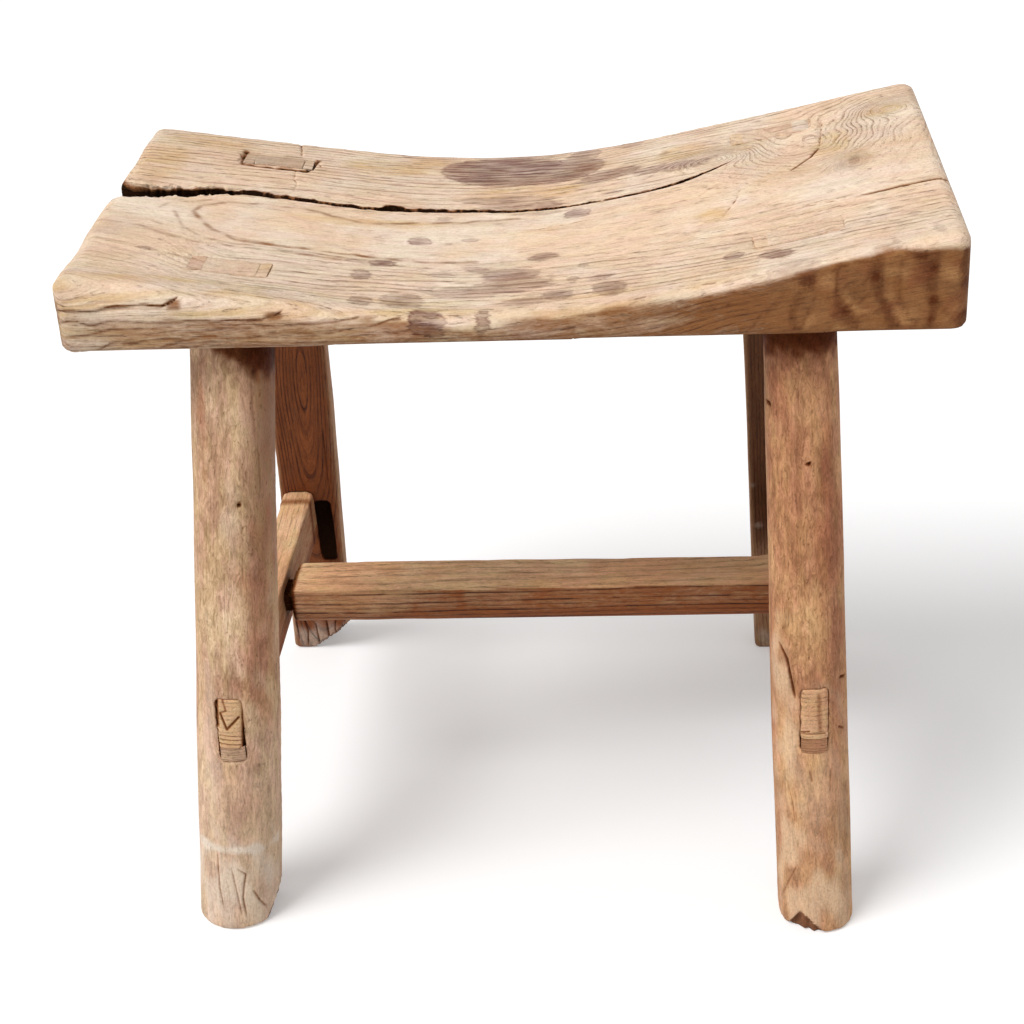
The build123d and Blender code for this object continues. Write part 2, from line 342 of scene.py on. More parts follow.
# %% [markdown]
# The plank leans with the rails by one degree, so its own axes are used to place things on
# it: x along the seat, y towards the back, and z up from its flat underside, in millimetres.
# The height of the saddle is read from the CAD plank by casting rays down on it.

# %% The plank's own axes
lean = radians(1.0)
across = np.array([cos(lean), 0, sin(lean)])
upright = np.array([-sin(lean), 0, cos(lean)])
plank_foot = np.array([0, 0, 365.0])
half_length, half_depth = 240.0, 131.0


def plank_axes(points):
    """The stool's points in the plank's own axes."""
    local = points - plank_foot
    return np.stack([local @ across, local[:, 1], local @ upright], 1)


def stool_axes(local):
    """Points in the plank's own axes, in the stool's."""
    x, y, z = local.T
    return plank_foot + np.outer(x, across) + np.outer(y, (0, 1, 0)) + np.outer(z, upright)


probe_y, probe_height = -60.0, 90.0
probe_x = np.linspace(-232, 232, 59)
probe_step = probe_x[1] - probe_x[0]
saddle_z = []
for x in probe_x:
    start = stool_axes(np.array([[x, probe_y, probe_height]]))[0] / metre
    _, place, _, _ = nodes["seat"].ray_cast(Vector(start), Vector(-upright))
    saddle_z.append(plank_axes(np.array([place]) * metre)[0, 2])
left_rise, right_rise = saddle_z[1] - saddle_z[0], saddle_z[-1] - saddle_z[-2]
saddle_x = np.array([probe_x[0] - 2 * probe_step, *probe_x, probe_x[-1] + 2 * probe_step])
saddle_z = np.array([saddle_z[0] - 2 * left_rise, *saddle_z, saddle_z[-1] + 2 * right_rise])


def saddle(x):
    """Height of the CAD saddle above the plank's underside."""
    return np.interp(x, saddle_x, saddle_z)


print("saddle heights:", saddle_z[[0, 30, -1]].round(1))

# %% [markdown]
# Marks on the plank, in its own millimetres. A stain has a place, two half widths, a turn and a
# depth. Water and soot sank in along the grain, so most are oval.

# %% Stains and tints on the plank
stains = [
    (-12, 97, 42, 27, -5, 1.0), (22, 88, 30, 19, 25, 0.85), (52, 72, 22, 9, 18, 0.8),
    (90, 66, 28, 8, -8, 0.75), (35, 113, 10, 15, -35, 0.7), (0, 127, 46, 6, 0, 0.6),
    (65, 122, 9, 7, 0, 0.55), (-8, 45, 32, 8, -6, 0.55), (0, 33, 27, 8, 0, 0.7),
    (-76, 126, 7, 6, 0, 0.6), (10, 19, 16, 3.5, 0, 0.5), (34, 12, 9, 7, 15, 0.85),
    (56, 40, 6, 2.5, 0, 0.6), (48, 47, 4, 2.5, 0, 0.4), (86, 92, 4, 5, -30, 0.6),
    (-55, -21, 8, 6.5, 0, 0.75), (-26, -19, 6, 4, 0, 0.5), (-38, -24, 4, 3, 0, 0.5),
    (-44, 16, 5, 4, 0, 0.45), (-12, 5, 4, 3, 0, 0.45), (-72, -57, 8, 6, 0, 0.95),
    (-88, -56, 5, 3, 0, 0.6), (-82, -76, 6, 8, 0, 0.8), (-78, -110, 7, 7, 0, 0.7),
    (-95, -95, 4, 1.6, 30, 0.4), (-42, -126, 11, 8, -20, 0.95), (-56, -108, 13, 10, -10, 0.65),
    (-45, -93, 6, 4.5, 0, 0.4), (-38, -70, 8, 5, 0, 0.6), (-19, -64, 10, 5, -20, 0.65),
    (0, -73, 17, 10, 0, 0.65), (-22, -97, 20, 9, 0, 0.55), (2, -89, 22, 11, 0, 0.65),
    (-12, -126, 5, 8, 0, 0.6), (8, -113, 13, 6, 0, 0.55), (17, -50, 10, 6.5, 10, 0.7),
    (20, -31, 4, 2.5, 0, 0.45), (60, -37, 3, 2, 0, 0.45), (40, -69, 3, 5, 0, 0.5),
    (35, -88, 4, 4.5, 0, 0.7), (50, -90, 9, 4, 15, 0.7), (55, -107, 9, 12, 30, 0.7),
    (27, -107, 10, 7, 0, 0.6), (121, -96, 6, 5.5, 0, 0.8), (143, -106, 10, 6.5, -22, 0.95),
    (168, -79, 5, 8, 0, 0.5), (215, -91, 4, 4, 0, 0.55), (218, 110, 1.4, 2.4, 0, 0.9),
    (193, 8, 4, 6, 0, 0.6), (-152, -107, 3.5, 2, 0, 0.6), (-187, -36, 4, 1.4, 0, 0.5),
    (-201, -70, 5, 2.6, -12, 0.6), (-155, -67, 4, 1.6, 0, 0.5), (-163, -82, 5, 8, 0, 0.55),
    (-194, 46, 4, 3, 0, 0.4), (176, -119, 14, 2.2, 8, 0.5), (150, -128, 14, 9, 0, 0.4),
    (202, -122, 2, 9, 10, 0.5), (225, -118, 3, 10, 14, 0.4),
]
honey_patches = [
    (-85, 98, 28, 13, 0, 0.8), (-62, 110, 14, 10, 0, 0.7), (22, 55, 16, 9, 20, 0.8),
    (97, 88, 16, 12, 0, 0.8), (135, 75, 14, 10, 0, 0.6), (183, 45, 12, 22, -10, 0.7),
    (217, 84, 14, 10, 0, 0.8), (196, 14, 9, 12, 0, 0.6), (112, -30, 9, 10, 0, 0.7),
    (18, -8, 26, 5, 8, 0.5), (-75, 4, 60, 5, 3, 0.9), (-2, 58, 30, 9, 5, 0.7),
    (40, 90, 16, 8, 10, 0.5), (-200, 112, 34, 12, 0, 0.6), (-222, 70, 16, 36, 0, 0.6),
    (-134, -85, 4, 8, -15, 0.5), (150, 8, 18, 10, 10, 0.4), (225, 20, 14, 4, 0, 0.5),
]
ash_patches = [
    (-148, -82, 22, 10, 0, 0.5), (150, -84, 22, 10, -4, 0.5), (160, 95, 10, 9, 0, 0.6),
    (16, -52, 9, 6, 10, 0.6), (-2, -76, 16, 7, 0, 0.6), (26, -106, 10, 6, 0, 0.5),
    (-8, 8, 50, 5, 0, 0.3), (40, -128, 60, 8, 0, 0.35),
]


def oval_field(x, y, ovals):
    """How far inside the nearest oval points lie (1 well in, 0 at its rim), and its depth."""
    field, depth = np.full(len(x), -1.0), np.zeros(len(x))
    for cx, cy, rx, ry, turn, strength in ovals:
        c, s = cos(radians(turn)), sin(radians(turn))
        u, v = (x - cx) * c + (y - cy) * s, (y - cy) * c - (x - cx) * s
        inside = (1 - np.hypot(u / rx, v / ry)) * min(rx, ry) / 6
        better = inside > field
        field[better] = inside[better]
        depth[better] = strength
    return np.clip(field, -1, 1), depth


print("stains:", len(stains))

# %% [markdown]
# The long split is a gash with a sharp front lip and a sloping, crumbled back wall. It is open
# at the left end, which the CAD solid has, and runs on as a narrowing groove. Each row gives
# where its front lip is, how wide the groove is, and how deep. Finer drying cracks are lines.

# %% Cracks in the plank
split_rows = np.array([  # along the seat, its front lip, its width and its depth
    (-190, 22.0, 4.0, 0.0), (-176, 27.0, 5.5, 5.0), (-165, 28.0, 5.4, 12.0),
    (-140, 27.6, 4.1, 11.0), (-120, 26.0, 3.6, 9.0), (-100, 24.6, 3.3, 8.0), (-84, 24.8, 3.5, 8.0),
    (-80, 25.2, 6.8, 10.0), (-73, 25.8, 6.8, 10.0), (-69, 26.3, 4.6, 8.0), (-54, 27.0, 3.9, 6.0),
    (-36, 27.0, 3.5, 5.5), (-22, 26.8, 3.2, 5.5), (-8, 24.6, 3.0, 5.0), (8, 23.6, 2.9, 5.0),
    (20, 23.4, 2.7, 4.5), (28, 24.8, 1.9, 3.2), (46, 26.6, 2.0, 3.4), (64, 28.4, 2.2, 3.6),
    (82, 29.4, 2.4, 3.8), (91, 31.4, 3.2, 4.6), (100, 34.4, 3.4, 4.6), (107, 38.6, 2.8, 4.0),
    (116, 45.0, 2.0, 2.6), (126, 53.5, 1.2, 0.0),
])
crack_lines = [  # width, depth and the line
    (1.5, 1.6, [(243, -44.5), (236, -46.5), (214, -46.0), (198, -47.2), (186, -48.0)]),
    (1.0, 0.7, [(186, -48), (170, -46.5), (152, -45)]),
    (0.9, 1.2, [(176, 43), (170, 30), (164, 22), (157, 14)]),
    (0.7, 0.6, [(181, 86), (178, 62), (176, 43)]),
    (0.7, 0.9, [(-146, 133), (-143, 118), (-141, 104)]),
    (0.6, 0.6, [(-141, 78), (-139, 60), (-136, 54), (-137, 42)]), (0.7, 0.5, [(30, 33), (40, 36)]),
    (0.8, 0.5, [(0, -10), (30, -3), (45, 1), (60, 6), (72, 7), (90, 3), (104, 4), (110, 11),
        (119, 18)]),
    (0.9, 0.5, [(128, 2), (126, -10), (121, -24), (117, -36)]),
    (0.7, 1.0, [(-178, 97), (-175.5, 90), (-178, 83)]), (0.7, 0.9, [(-128.5, 95), (-127, 89)]),
    (0.7, 0.5, [(-150, -46), (-128, -46.5), (-104, -45.5), (-66, -45)]),
    (0.8, 0.6, [(-94, -57), (-84, -56), (-64, -57)]),
]
figure_lines = [  # width, how brown, and the line
    (2.2, 0.66, [(-186.7, -8.6), (-184, 2.8), (-170, 13), (-149, 16), (-126, 15.5), (-109, 7.2),
        (-92, 3.2), (-70, 4.9), (-40, 10), (0, 13)]),
    (2.2, 0.66, [(-186.7, -8.6), (-181.5, -19), (-170.6, -35), (-156.5, -43.3), (-139, -45),
        (-117, -46), (-92, -47), (-63, -51), (-20, -52)]),
    (1.8, 0.55, [(-206, -8), (-203, -1), (-196, 4.6), (-181, 14)]),
    (1.8, 0.55, [(-240, -34), (-228, -37), (-212, -38.5), (-198, -45.6), (-178, -52.5),
        (-159, -54), (-120, -55), (-60, -59)]),
    (1.6, 0.5, [(-197, -12), (-188, -33), (-175, -46), (-155, -50), (-120, -50.5), (-70, -55)]),
    (1.6, 0.45, [(-238, -62), (-210, -66), (-180, -76), (-166, -80)]),
    (1.5, 0.45, [(-236, -20), (-214, -24), (-200, -33)]),
]
socket_width = 1.6
back_left_socket = [
    (-175, 101), (-175, 92), (-173.5, 79.3), (-160, 78), (-146, 78.4), (-134, 78.2), (-132, 90),
    (-130.5, 99),
]


def line_distance(x, y, line):
    """Distance in plan from points to a line of short runs, and how far along it they are."""
    nearest, along = np.full(len(x), 1e9), np.zeros(len(x))
    line = np.array(line, float)
    walked, total = 0.0, np.linalg.norm(np.diff(line, axis=0), axis=1).sum()
    for (ax, ay), (bx, by) in zip(line[:-1], line[1:]):
        run = np.hypot(bx - ax, by - ay)
        t = np.clip(((x - ax) * (bx - ax) + (y - ay) * (by - ay)) / run ** 2, 0, 1)
        away = np.hypot(x - ax - t * (bx - ax), y - ay - t * (by - ay))
        closer = away < nearest
        nearest[closer] = away[closer]
        along[closer] = ((walked + t * run) / total)[closer]
        walked += run
    return nearest, along


def nearest_line(x, y, rows):
    """Distance to the nearest of some lines, each the last thing in its row."""
    return np.minimum.reduce([line_distance(x, y, line)[0] for *_, line in rows])


def fade_ends(along, steep):
    """1 along a crack, fading to 0 at both its ends."""
    return np.clip(np.minimum(along, 1 - along) * steep, 0, 1) ** 0.5


def split_at(x, **outside):
    """The split's front lip, width and depth at places along the seat."""
    return [np.interp(x, split_rows[:, 0], column, **outside) for column in split_rows.T[1:]]


def split_shape(x, y):
    """Depth of the split's groove, and its floor's dirt and painted shade, at points in plan."""
    lip, width, deep = split_at(x, left=0, right=0)
    plan = (x, y, 0 * x)
    wide = width * (1 + 0.1 * waves(plan, 7, 61)) + 0.05
    behind = (y - lip - 0.35 * waves((x, 0 * x, 0 * x), 9, 62)) / wide
    floor_share = np.clip((1 - behind) / 0.5, 0, 1) ** 0.7 * soft_step(behind, -0.12, 0.04)
    inside = deep * floor_share * (behind < 1)
    crumbs = behind + 0.13 * waves(plan, 13, 68) + 0.07 * waves(plan, 3.3, 78)
    # The groove's floor is painted near black: dirt, and painted shade deep in the split.
    black_dirt_and_shade = 0.42 * soft_step(-crumbs, -1.45, -1.15) + 0.58 * soft_step(-crumbs, -1.2, -0.98)
    return inside, black_dirt_and_shade * soft_step(behind, -0.3, -0.05) * soft_step(deep, 0, 2)


def slot_walls(x, y):
    """How far points lie outside the open part of the split, negative inside it."""
    middle = np.interp(x, (-247, -226, -216, -200, -182, -166), (17, 16.4, 18.3, 23, 29, 31.8))
    half = np.interp(x, (-247, -236, -226, -216, -200, -182, -166),
                     (24, 16, 11, 9.5, 7.5, 5.3, 2.9))
    return np.abs(y - middle) - half


print("cracks in the plank:", len(crack_lines))

# %% [markdown]
# On the long front edge the year layers lie almost flat, and wear has broken them into
# terraces with ragged tongues. Each terrace is a line on the front, as x and as height seen
# from the front, with how deep the step under it is and how dark.

# %% Layers on the front edge
layer_lines = [  # depth of the step, how dark the crack and the band under it are, and the line
    (2.4, 0.8, 0.5, [(-243, 27), (-236, 25), (-222, 24), (-205, 26.5), (-190, 27.5), (-181, 28),
        (-176, 30), (-172, 33)]),
    (1.5, 0.42, 0.6, [(-243, 19.5), (-222, 17.5), (-205, 18.5), (-190, 17), (-150, 17.5),
        (-128, 17.5), (-121, 20), (-117, 24)]),
    (1.0, 0.3, 0.7, [(-243, 8), (-225, 11), (-205, 13.5), (-185, 13), (-150, 12), (-110, 13),
        (-92, 15.5), (-76, 19)]),
    (0.9, 0.3, 0.8, [(-225, 2), (-210, 5), (-190, 8), (-150, 7.5), (-100, 8.5), (-74, 12),
        (-54, 18)]),
    (0.6, 0.25, 0.8, [(-200, 0), (-180, 3), (-100, 3.5), (-70, 7), (-45, 12)]),
    (0.5, 0.2, 0.7, [(-70, 1), (0, 10), (40, 15), (75, 18), (135, 29), (160, 36)]),
    (0.4, 0.2, 0.6, [(-40, 0), (20, 5), (60, 9), (100, 15), (128, 18)]),
]
block_lines = [  # cracks and rings on the thick right part: width, how dark, and the line
    (1.2, 0.26, [(160, 20), (157, 10), (153.6, 3)]),
    (2.2, 0.24, [(206, 46), (204, 34), (203, 26), (205.4, 15.4), (212.5, 4)]),
    (2.0, 0.24, [(216, 44), (221.6, 27.6), (224, 16), (231, 6.3)]),
    (1.1, 0.3, [(170, 10.5), (182, 9), (195, 12)]),
    (1.3, 0.26, [(175, 19), (178, 17), (184, 17.5), (187.5, 23), (185, 29), (179, 29.5),
        (175, 26), (175, 19)]),
    (1.0, 0.25, [(128, 4), (134, 12), (142, 18)]), (0.9, 0.3, [(150, 33), (168, 36), (190, 42)]),
]
tongue_ends = [  # brown ends of the tongues: place, height, two half sizes, how brown
    (-174.5, 27, 4.5, 4.0, 0.85), (-122, 19, 5.5, 3.6, 0.75), (-74, 17, 6, 3, 0.5),
]


def front_layers(x, seen):
    """Step depth, dark crack and brown band of the layers on the front edge."""
    step, crack, brown = np.zeros((3, len(x)))
    front = (x, seen, 0 * x)
    for depth, dark, band, line in layer_lines:
        line = np.array(line, float)
        ragged = 0.9 * waves(front, 22, int(depth * 10) + 70)
        under = np.interp(x, line[:, 0], line[:, 1]) + ragged - seen
        below = np.maximum(under, 0)
        here = soft_step(line[-1, 0] - x, -1.0, 2.5) * soft_step(x - line[0, 0], -3, 12)
        patchy = 0.75 + 0.4 * waves(front, 14, 75)
        step = np.maximum(step, depth * here * np.exp(-below / 3.2) * soft_step(under, -0.5, 0.4))
        crack = np.maximum(crack, dark * here * bell(under - 0.2, 0.75) * patchy)
        brown = np.maximum(brown, band * here * np.exp(-below / 4.5) * soft_step(under, -0.9, 0.4))
    for width, dark, line in block_lines:
        away, _ = line_distance(x, seen + 0.8 * waves(front, 9, 76), line)
        crack = np.maximum(crack, dark * bell(away, width))
    for cx, cs, reach_x, reach_s, dark in tongue_ends:
        brown = np.maximum(brown, dark * mound(x, seen, (cx, cs), (reach_x, reach_s), 4))
    return step, crack, brown


print("layers on the front:", len(layer_lines))

# %% [markdown]
# Growth rings are tubes round the heart of the tree, which lay under this plank. Where the
# surface cuts them steeply they show as fine lines, and where it lies along them the wood looks
# plain. A branch left a swirl in the back right corner. Each vertex gets its ring number.

# %% Growth rings of the plank
ring_width = 2.5
heart_deep, heart_front = 150, 12
swirls = [  # middle, reach, the middle of its own rings, and how wide those are
    ((186, 60), (46, 58), (262, 50), 4.2), ((193, 6), (12, 13), (193, 6), 3.0),
    ((222, 88), (15, 13), (214, 70), 3.0), ((112, 60), (22, 14), (120, 90), 5.0),
]


def plank_rings(local):
    """Grain at points in the plank's axes: the way along it, ring number, way round the heart."""
    x, y, z = local.T
    rise = saddle(x) - saddle(0.0)
    heart_y = np.interp(x, (-240, 120, 240), (-heart_front, -heart_front, -4))
    level = 1 - 0.5 * soft_step(-x, 150, 200) * soft_step(-y, 20, 60)
    level = level * (1 - 0.9 * soft_step(-y, 98, 128))
    heart_z = -heart_deep + rise * np.where(x < 0, level, 1.25)
    radius = np.hypot(y - heart_y, z - heart_z)
    slow = waves(local, 120, 5, stretch=(2.2, 1, 1))
    radius += 0.9 * slow + 0.45 * waves(local, 26, 6, stretch=(2.4, 1, 1))
    along = x.copy()
    for middle, reach, (cx, cy), width in swirls:
        pull = mound(x, y, middle, reach)
        away = np.hypot(x - cx, y - cy) + 2.4 * waves(local, 24, int(middle[0] + 300))
        radius = radius * (1 - pull) + (heart_deep + away * ring_width / width) * pull
        along = along * (1 - pull) + (y + 40) * pull
    return along, radius / ring_width, np.arctan2(z - heart_z, y - heart_y) * heart_deep


print("swirls in the plank:", len(swirls))

# %% [markdown]
# Long use has worn the plank's top a little lower than the solid's and rounded its edges, most
# of all at the thin left end. The narrow part of the split is finer than the small faces, so
# it is filled in the copy and pressed in again as a groove.

# %% How the plank wears
def top_wear(x, y):
    """How far the worn top lies under the CAD saddle."""
    plan = (x, y, 0 * x)
    slow, quick = waves(plan, 80, 21, stretch=(2, 1, 1)), waves(plan, 12, 22, stretch=(4, 1, 1))
    return 0.5 + 0.3 * slow + 0.12 * quick


def fill_narrow_split(shape):
    """Fills the split where it is narrower than two of the small faces."""
    length, middle_x, width, middle_y, skin = 297, -20.5, 38, 36, 0.9
    filler = bmesh.new()
    bmesh.ops.create_cube(filler, size=1)
    bmesh.ops.subdivide_edges(filler, edges=filler.edges, cuts=30, use_grid_fill=True)
    for vert in filler.verts:
        x, y = length * vert.co.x + middle_x, width * vert.co.y + middle_y
        low, high = skin, saddle(x) - skin
        z = low + (vert.co.z + 0.5) * (high - low)
        vert.co = stool_axes(np.array([[x, y, z]]))[0] / metre
    filler_mesh = bpy.data.meshes.new("filler")
    filler.to_mesh(filler_mesh)
    filler.free()
    shape.from_mesh(filler_mesh)
    bpy.data.meshes.remove(filler_mesh)


def press_edge(across_in, down_in, radius):
    """How far to move points of a square edge in from both faces, for a round of that radius."""
    corner_a, corner_d = radius - across_in, radius - down_in
    reach = np.hypot(corner_a, corner_d)
    outside = (corner_a > 0) & (corner_d > 0) & (reach > radius)
    pull = np.where(outside, 1 - radius / np.maximum(reach, 1e-6), 0)
    return corner_a * pull, corner_d * pull


def press_corners(local):
    """Moves points of the plank's worn top edges in, and gives them in the same axes."""
    x, y, z = local.T.copy()
    uneven = 1 + 0.16 * waves(local, 60, 11)
    front_radius = np.interp(x, (-240, -150, -60, 60, 130, 190, 240), (16, 16, 14, 12, 9, 6, 5))
    front_radius = front_radius * uneven
    move_y, move_z = press_edge(y + half_depth, saddle(x) - z, front_radius)
    y, z = y + move_y, z - move_z
    end_radius = np.where(x < 0, 11, 7) * uneven
    move_x, move_z = press_edge(half_length - np.abs(x), saddle(x) - z, end_radius)
    x, z = x - np.sign(x) * move_x, z - move_z
    return np.stack([x, y, z], 1)


# %% [markdown]
# The copy of the plank is split into smaller faces near its cracks, along the split and on the
# front edge, where the detail is sharp. Elsewhere it stays coarse, to keep it light.

# %% The plank's faces
split_from, split_to = -166, 134
seat_voxel = 0.0023
seat = fine_copy("seat", seat_voxel, "seat_plank", fill_narrow_split)
for spread in (3.4, 2.6):
    x, y, z = plank_axes(points_of(seat.data)).T
    first_round = spread > 3
    fine_lines = crack_lines + [(back_left_socket,)] + (figure_lines if first_round else [])
    lip, width, _ = split_at(x)
    by_split = (y > lip - 1.8 * spread) & (y < lip + width + spread) & (x > -186) & (x < 128)
    by_walls = (np.abs(slot_walls(x, y)) < spread) & (x > -222) & (x < split_from)
    on_edge = (y < -104) & (x < -40) & first_round
    sharp = (nearest_line(x, y, fine_lines) < spread) | by_split | by_walls | on_edge
    refine(seat.data, sharp & (z > saddle(x) - 13) | on_edge & (z > 1))
print("faces of the plank:", len(seat.data.polygons))

# %% [markdown]
# The surface is pressed in where wood is gone: edges to rounds, cracks and the socket's rim as
# narrow grooves, terraces on the front, and ragged lips on the open part of the split. Cracks
# fade out at their ends, because wood tears less and less there.

# %% The plank's surface
local = plank_axes(points_of(seat.data))
facing = normals_of(seat.data) @ np.stack([across, (0, 1, 0), upright], 1)
worn = press_corners(local)
x, y, z = worn.T
depth_in = saddle(x) - z
seen = z + 0.55 * (y + half_depth)
top_share = soft_step(z, 2, 6) * soft_step(-depth_in, -12, -1)
toward_front = soft_step(-y, 96, 112)
on_front = toward_front * soft_step(z, 0.5, 3)
front_skin = toward_front * soft_step(-facing[:, 1], 0.12, 0.5)
near_split = (np.abs(y - split_at(x)[0]) < 9) & (x > split_from) & (x < split_to)
z = np.where(near_split & (depth_in < 8), saddle(x), z)

groove, split_dirt_and_shade = split_shape(x, y)
dark, figure = np.zeros((2, len(x)))
for width, depth, line in crack_lines:
    away, along = line_distance(x, y, line)
    taper = fade_ends(along, 8) if depth < 1.5 else np.clip((1 - along) * 3, 0, 1)
    groove = np.maximum(groove, depth * taper * bell(away, width))
    patchy = 1 if depth > 1 else 0.6 + 0.6 * waves(worn, 9, 63)
    dark = np.maximum(dark, min(1, depth * 0.62) * taper * patchy * bell(away / width, 0.8))
rim = bell(line_distance(x, y, back_left_socket)[0], socket_width)
groove += 1.2 * rim
# The socket's rim is painted dark as well: painted shadow at the edge of the low tenon.
dark = np.maximum(dark, rim * (0.8 + 0.3 * waves(worn, 9, 63)))
for width, share, line in figure_lines:
    away, _ = line_distance(x, y + 0.7 * waves(worn, 22, 79), line)
    patchy = 0.8 + 0.25 * waves(worn, 12, 89)
    figure = np.maximum(figure, share * bell(away, width) * patchy)
step, crack, brown = front_layers(x, seen)
z = z - top_share * (groove + top_wear(x, y))
y = y + on_front * step * 0.75
z = z - on_front * step * 0.5 * soft_step(-depth_in, -14, -4)
old_x, old_y, _ = local.T
walls = soft_step(-slot_walls(old_x, old_y), -5, -1.5) * soft_step(-old_x, 163, 170)
tooth = 0.9 * waves(worn, 8, 31, stretch=(1, 1, 3))
tooth = tooth + 0.7 * waves(worn, 3.6, 32, stretch=(1, 1, 4))
y = y + walls * np.clip(tooth, -1.4, 1.4) * np.sign(old_y - 20)
z = z - walls * top_share * np.maximum(0, waves(worn, 10, 33)) * 1.2
move_points(seat.data, stool_axes(np.stack([x, y, z], 1)))
print("deepest groove in mm:", round(float((top_share * groove).max()), 1))

# %% [markdown]
# The old brown skin is left where nobody sat or rubbed: on the front under the worn edge, on
# the ends and at the back. The thick right part of the front shows the wood almost end on, as
# dark arcs. Honey and ash are soft tints of the top. Dirt lies in every crack, and the split is
# painted darker still, as painted shade in it.

# %% Skin of the plank
on_top = soft_step(-depth_in, -14, -5)
edge_height = np.interp(x, (-240, -120, -60, 0, 60, 100, 140, 160, 180, 200, 240),
                        (22, 17, 16, 13, 19, 24, 31, 36, 42, 46, 47))
skin_share = np.interp(x, (-240, -120, -60, 0, 60, 130, 160, 240),
                       (0.42, 0.6, 0.68, 0.7, 0.7, 0.9, 1.0, 1.0))
ripple = 2.5 * waves(worn, 30, 64, stretch=(2, 1, 1))
ripple = ripple + 0.6 * waves(worn, 9, 69, stretch=(2, 1, 1))
over_corner = soft_step(230 - x, 0, 6) * soft_step(-y, 90, 106)
patina = skin_share * soft_step(edge_height + ripple - seen, -3.5, 3.5)
patina = patina * np.maximum(front_skin, over_corner)
patina = patina - 0.12 * on_top * soft_step(-x, 40, 140)
patina = strongest(patina, brown * on_front, 1.05 * figure * on_top)
arcs = np.cos((np.hypot(x - 300, 0.8 * (z - 25)) + 5 * waves(worn, 34, 65)) * 2 * pi / 21)
block = front_skin * soft_step(z, 0.5, 3) * soft_step(x, 132, 160)
block = block * soft_step(edge_height - seen, -2, 2)
patina = patina + block * (0.2 + 0.04 * arcs)
other_faces = np.maximum(soft_step(y, 124, 130), soft_step(np.abs(x), 233, 239)) * (1 - on_top)
end_skin = 0.6 + 0.35 * soft_step(-y + 8 * waves(worn, 26, 99), 70, 128) * (x > 0)
patina = np.maximum(patina, end_skin * np.maximum(other_faces, soft_step(-z, -3, 0)))

# %% [markdown]
# The material can't tell by itself where a crack or a stain is. So each vertex keeps its dirt
# and painted shade, its tints, and how plainly the year rings show there, from how steeply the
# surface cuts them.

# %% What the plank's material reads
# The walls of the open split are painted darker the deeper they lie: painted shade.
slot_wall_shade = soft_step(depth_in, 0.5, np.interp(x, (-228, -200, -180), (7, 3.2, 1.8))) * 0.98
crevice = strongest(
    dark * top_share, crack * on_front, split_dirt_and_shade * (z > 3), walls * slot_wall_shade,
    soft_step(-z, -1.2, 0.6) * 0.3,
    block * (0.3 * soft_step(arcs, 0.1, 1.0) + 0.14 * soft_step(waves(worn, 11, 96), 0.3, 1.3)),
)
stain, stain_depth = oval_field(x, y, stains)
honey, honey_depth = oval_field(x, y, honey_patches)
ash, ash_depth = oval_field(x, y, ash_patches)
flecks = soft_step(waves(worn, 16, 67, stretch=(5, 1, 1)), -0.7, 0.6)
honey_share = strongest(
    on_front * soft_step(140 - x, 0, 30) * flecks * 0.7,
    block * 0.9 * soft_step(waves(worn, 13, 97), 0.0, 0.8),
    on_top * honey_depth * soft_step(honey, -0.6, 0.8),
)
ash_share = strongest(
    on_top * ash_depth * soft_step(ash, -0.6, 0.8),
    block * soft_step(waves(worn, 18, 66), -0.2, 0.8) * 0.45,
    on_front * 0.9 * bell(np.hypot(x - 181, seen - 23.4), 6, 6),
)
heart = np.stack([0 * x, worn[:, 1] + heart_front, worn[:, 2] + heart_deep], 1)
heart /= np.linalg.norm(heart, axis=1)[:, None]
steepness = np.sqrt(np.clip(1 - (facing * heart).sum(1) ** 2, 0, 1))
shown = np.clip(np.maximum(soft_step(steepness, 0.1, 0.42), mound(x, y, *swirls[0][:2])), 0, 1)
shown = shown * (1 - 0.6 * soft_step(-x, 120, 190) * on_top * soft_step(-y, -32, -8))
shown = shown * (1 - on_front * (0.4 + 0.35 * soft_step(x, 110, 160)))
shown = shown * (1 - 0.6 * mound(x, y, (-100, -12), (82, 23), 4))
tan_spots = block * (0.16 + 0.46 * soft_step(waves(worn, 15, 95), 0.25, 1.1))
red_spots = block * 0.7 * soft_step(waves(worn, 17, 98), 0.1, 1.0)
store_wood(
    seat.data, plank_rings(worn), local.T,
    (patina, np.where(on_top > 0.3, stain, -1), stain_depth),
    (crevice, honey_share, ash_share), (shown, tan_spots, red_spots),
)
finish_piece(seat, "seat_wood", "seat")

# %% [markdown]
# The legs are poles, split down the middle: the outside keeps the round of the young tree,
# and the inside is a flat cut face. Each one has its own axes: a up the leg from the floor,
# u to the right across it, and v towards the back. One rule says how far the drawknife took
# wood off at any place, so the ends of the joints stay flush with it.

# %% Leg axes
class LegAxes:
    """A leg's own axes, its widths, and how unevenly it was shaved."""

    def __init__(self, foot, top, foot_width, top_width, flat, end, seed):
        self.foot = np.array(foot, float)
        self.length = np.linalg.norm(np.array(top) - self.foot)
        self.up = (np.array(top) - self.foot) / self.length
        self.side = np.array([1.0, 0, 0]) - self.up * self.up[0]
        self.side /= np.linalg.norm(self.side)
        self.back = np.cross(self.up, self.side)
        self.foot_width, self.top_width, self.flat = foot_width, top_width, flat
        self.end, self.seed = end, seed

    def read(self, points):
        """The stool's points in the leg's axes."""
        offset = points - self.foot
        return offset @ self.up, offset @ self.side, offset @ self.back

    def write(self, a, u, v):
        """Points in the leg's axes, in the stool's."""
        return self.foot + np.outer(a, self.up) + np.outer(u, self.side) + np.outer(v, self.back)

    def radius(self, a):
        return (self.foot_width + (self.top_width - self.foot_width) * a / self.length) / 2

    def shaved(self, a, u, v):
        """How far the surface lies inside the CAD leg, in millimetres."""
        slow = 0.5 * waves((a, u, v), 75, self.seed, stretch=(3, 1, 1))
        slow = slow + 0.16 * waves((a, u, v), 14, self.seed + 1, stretch=(5, 1, 1))
        return np.clip(0.45 + slow, 0, 1.6)


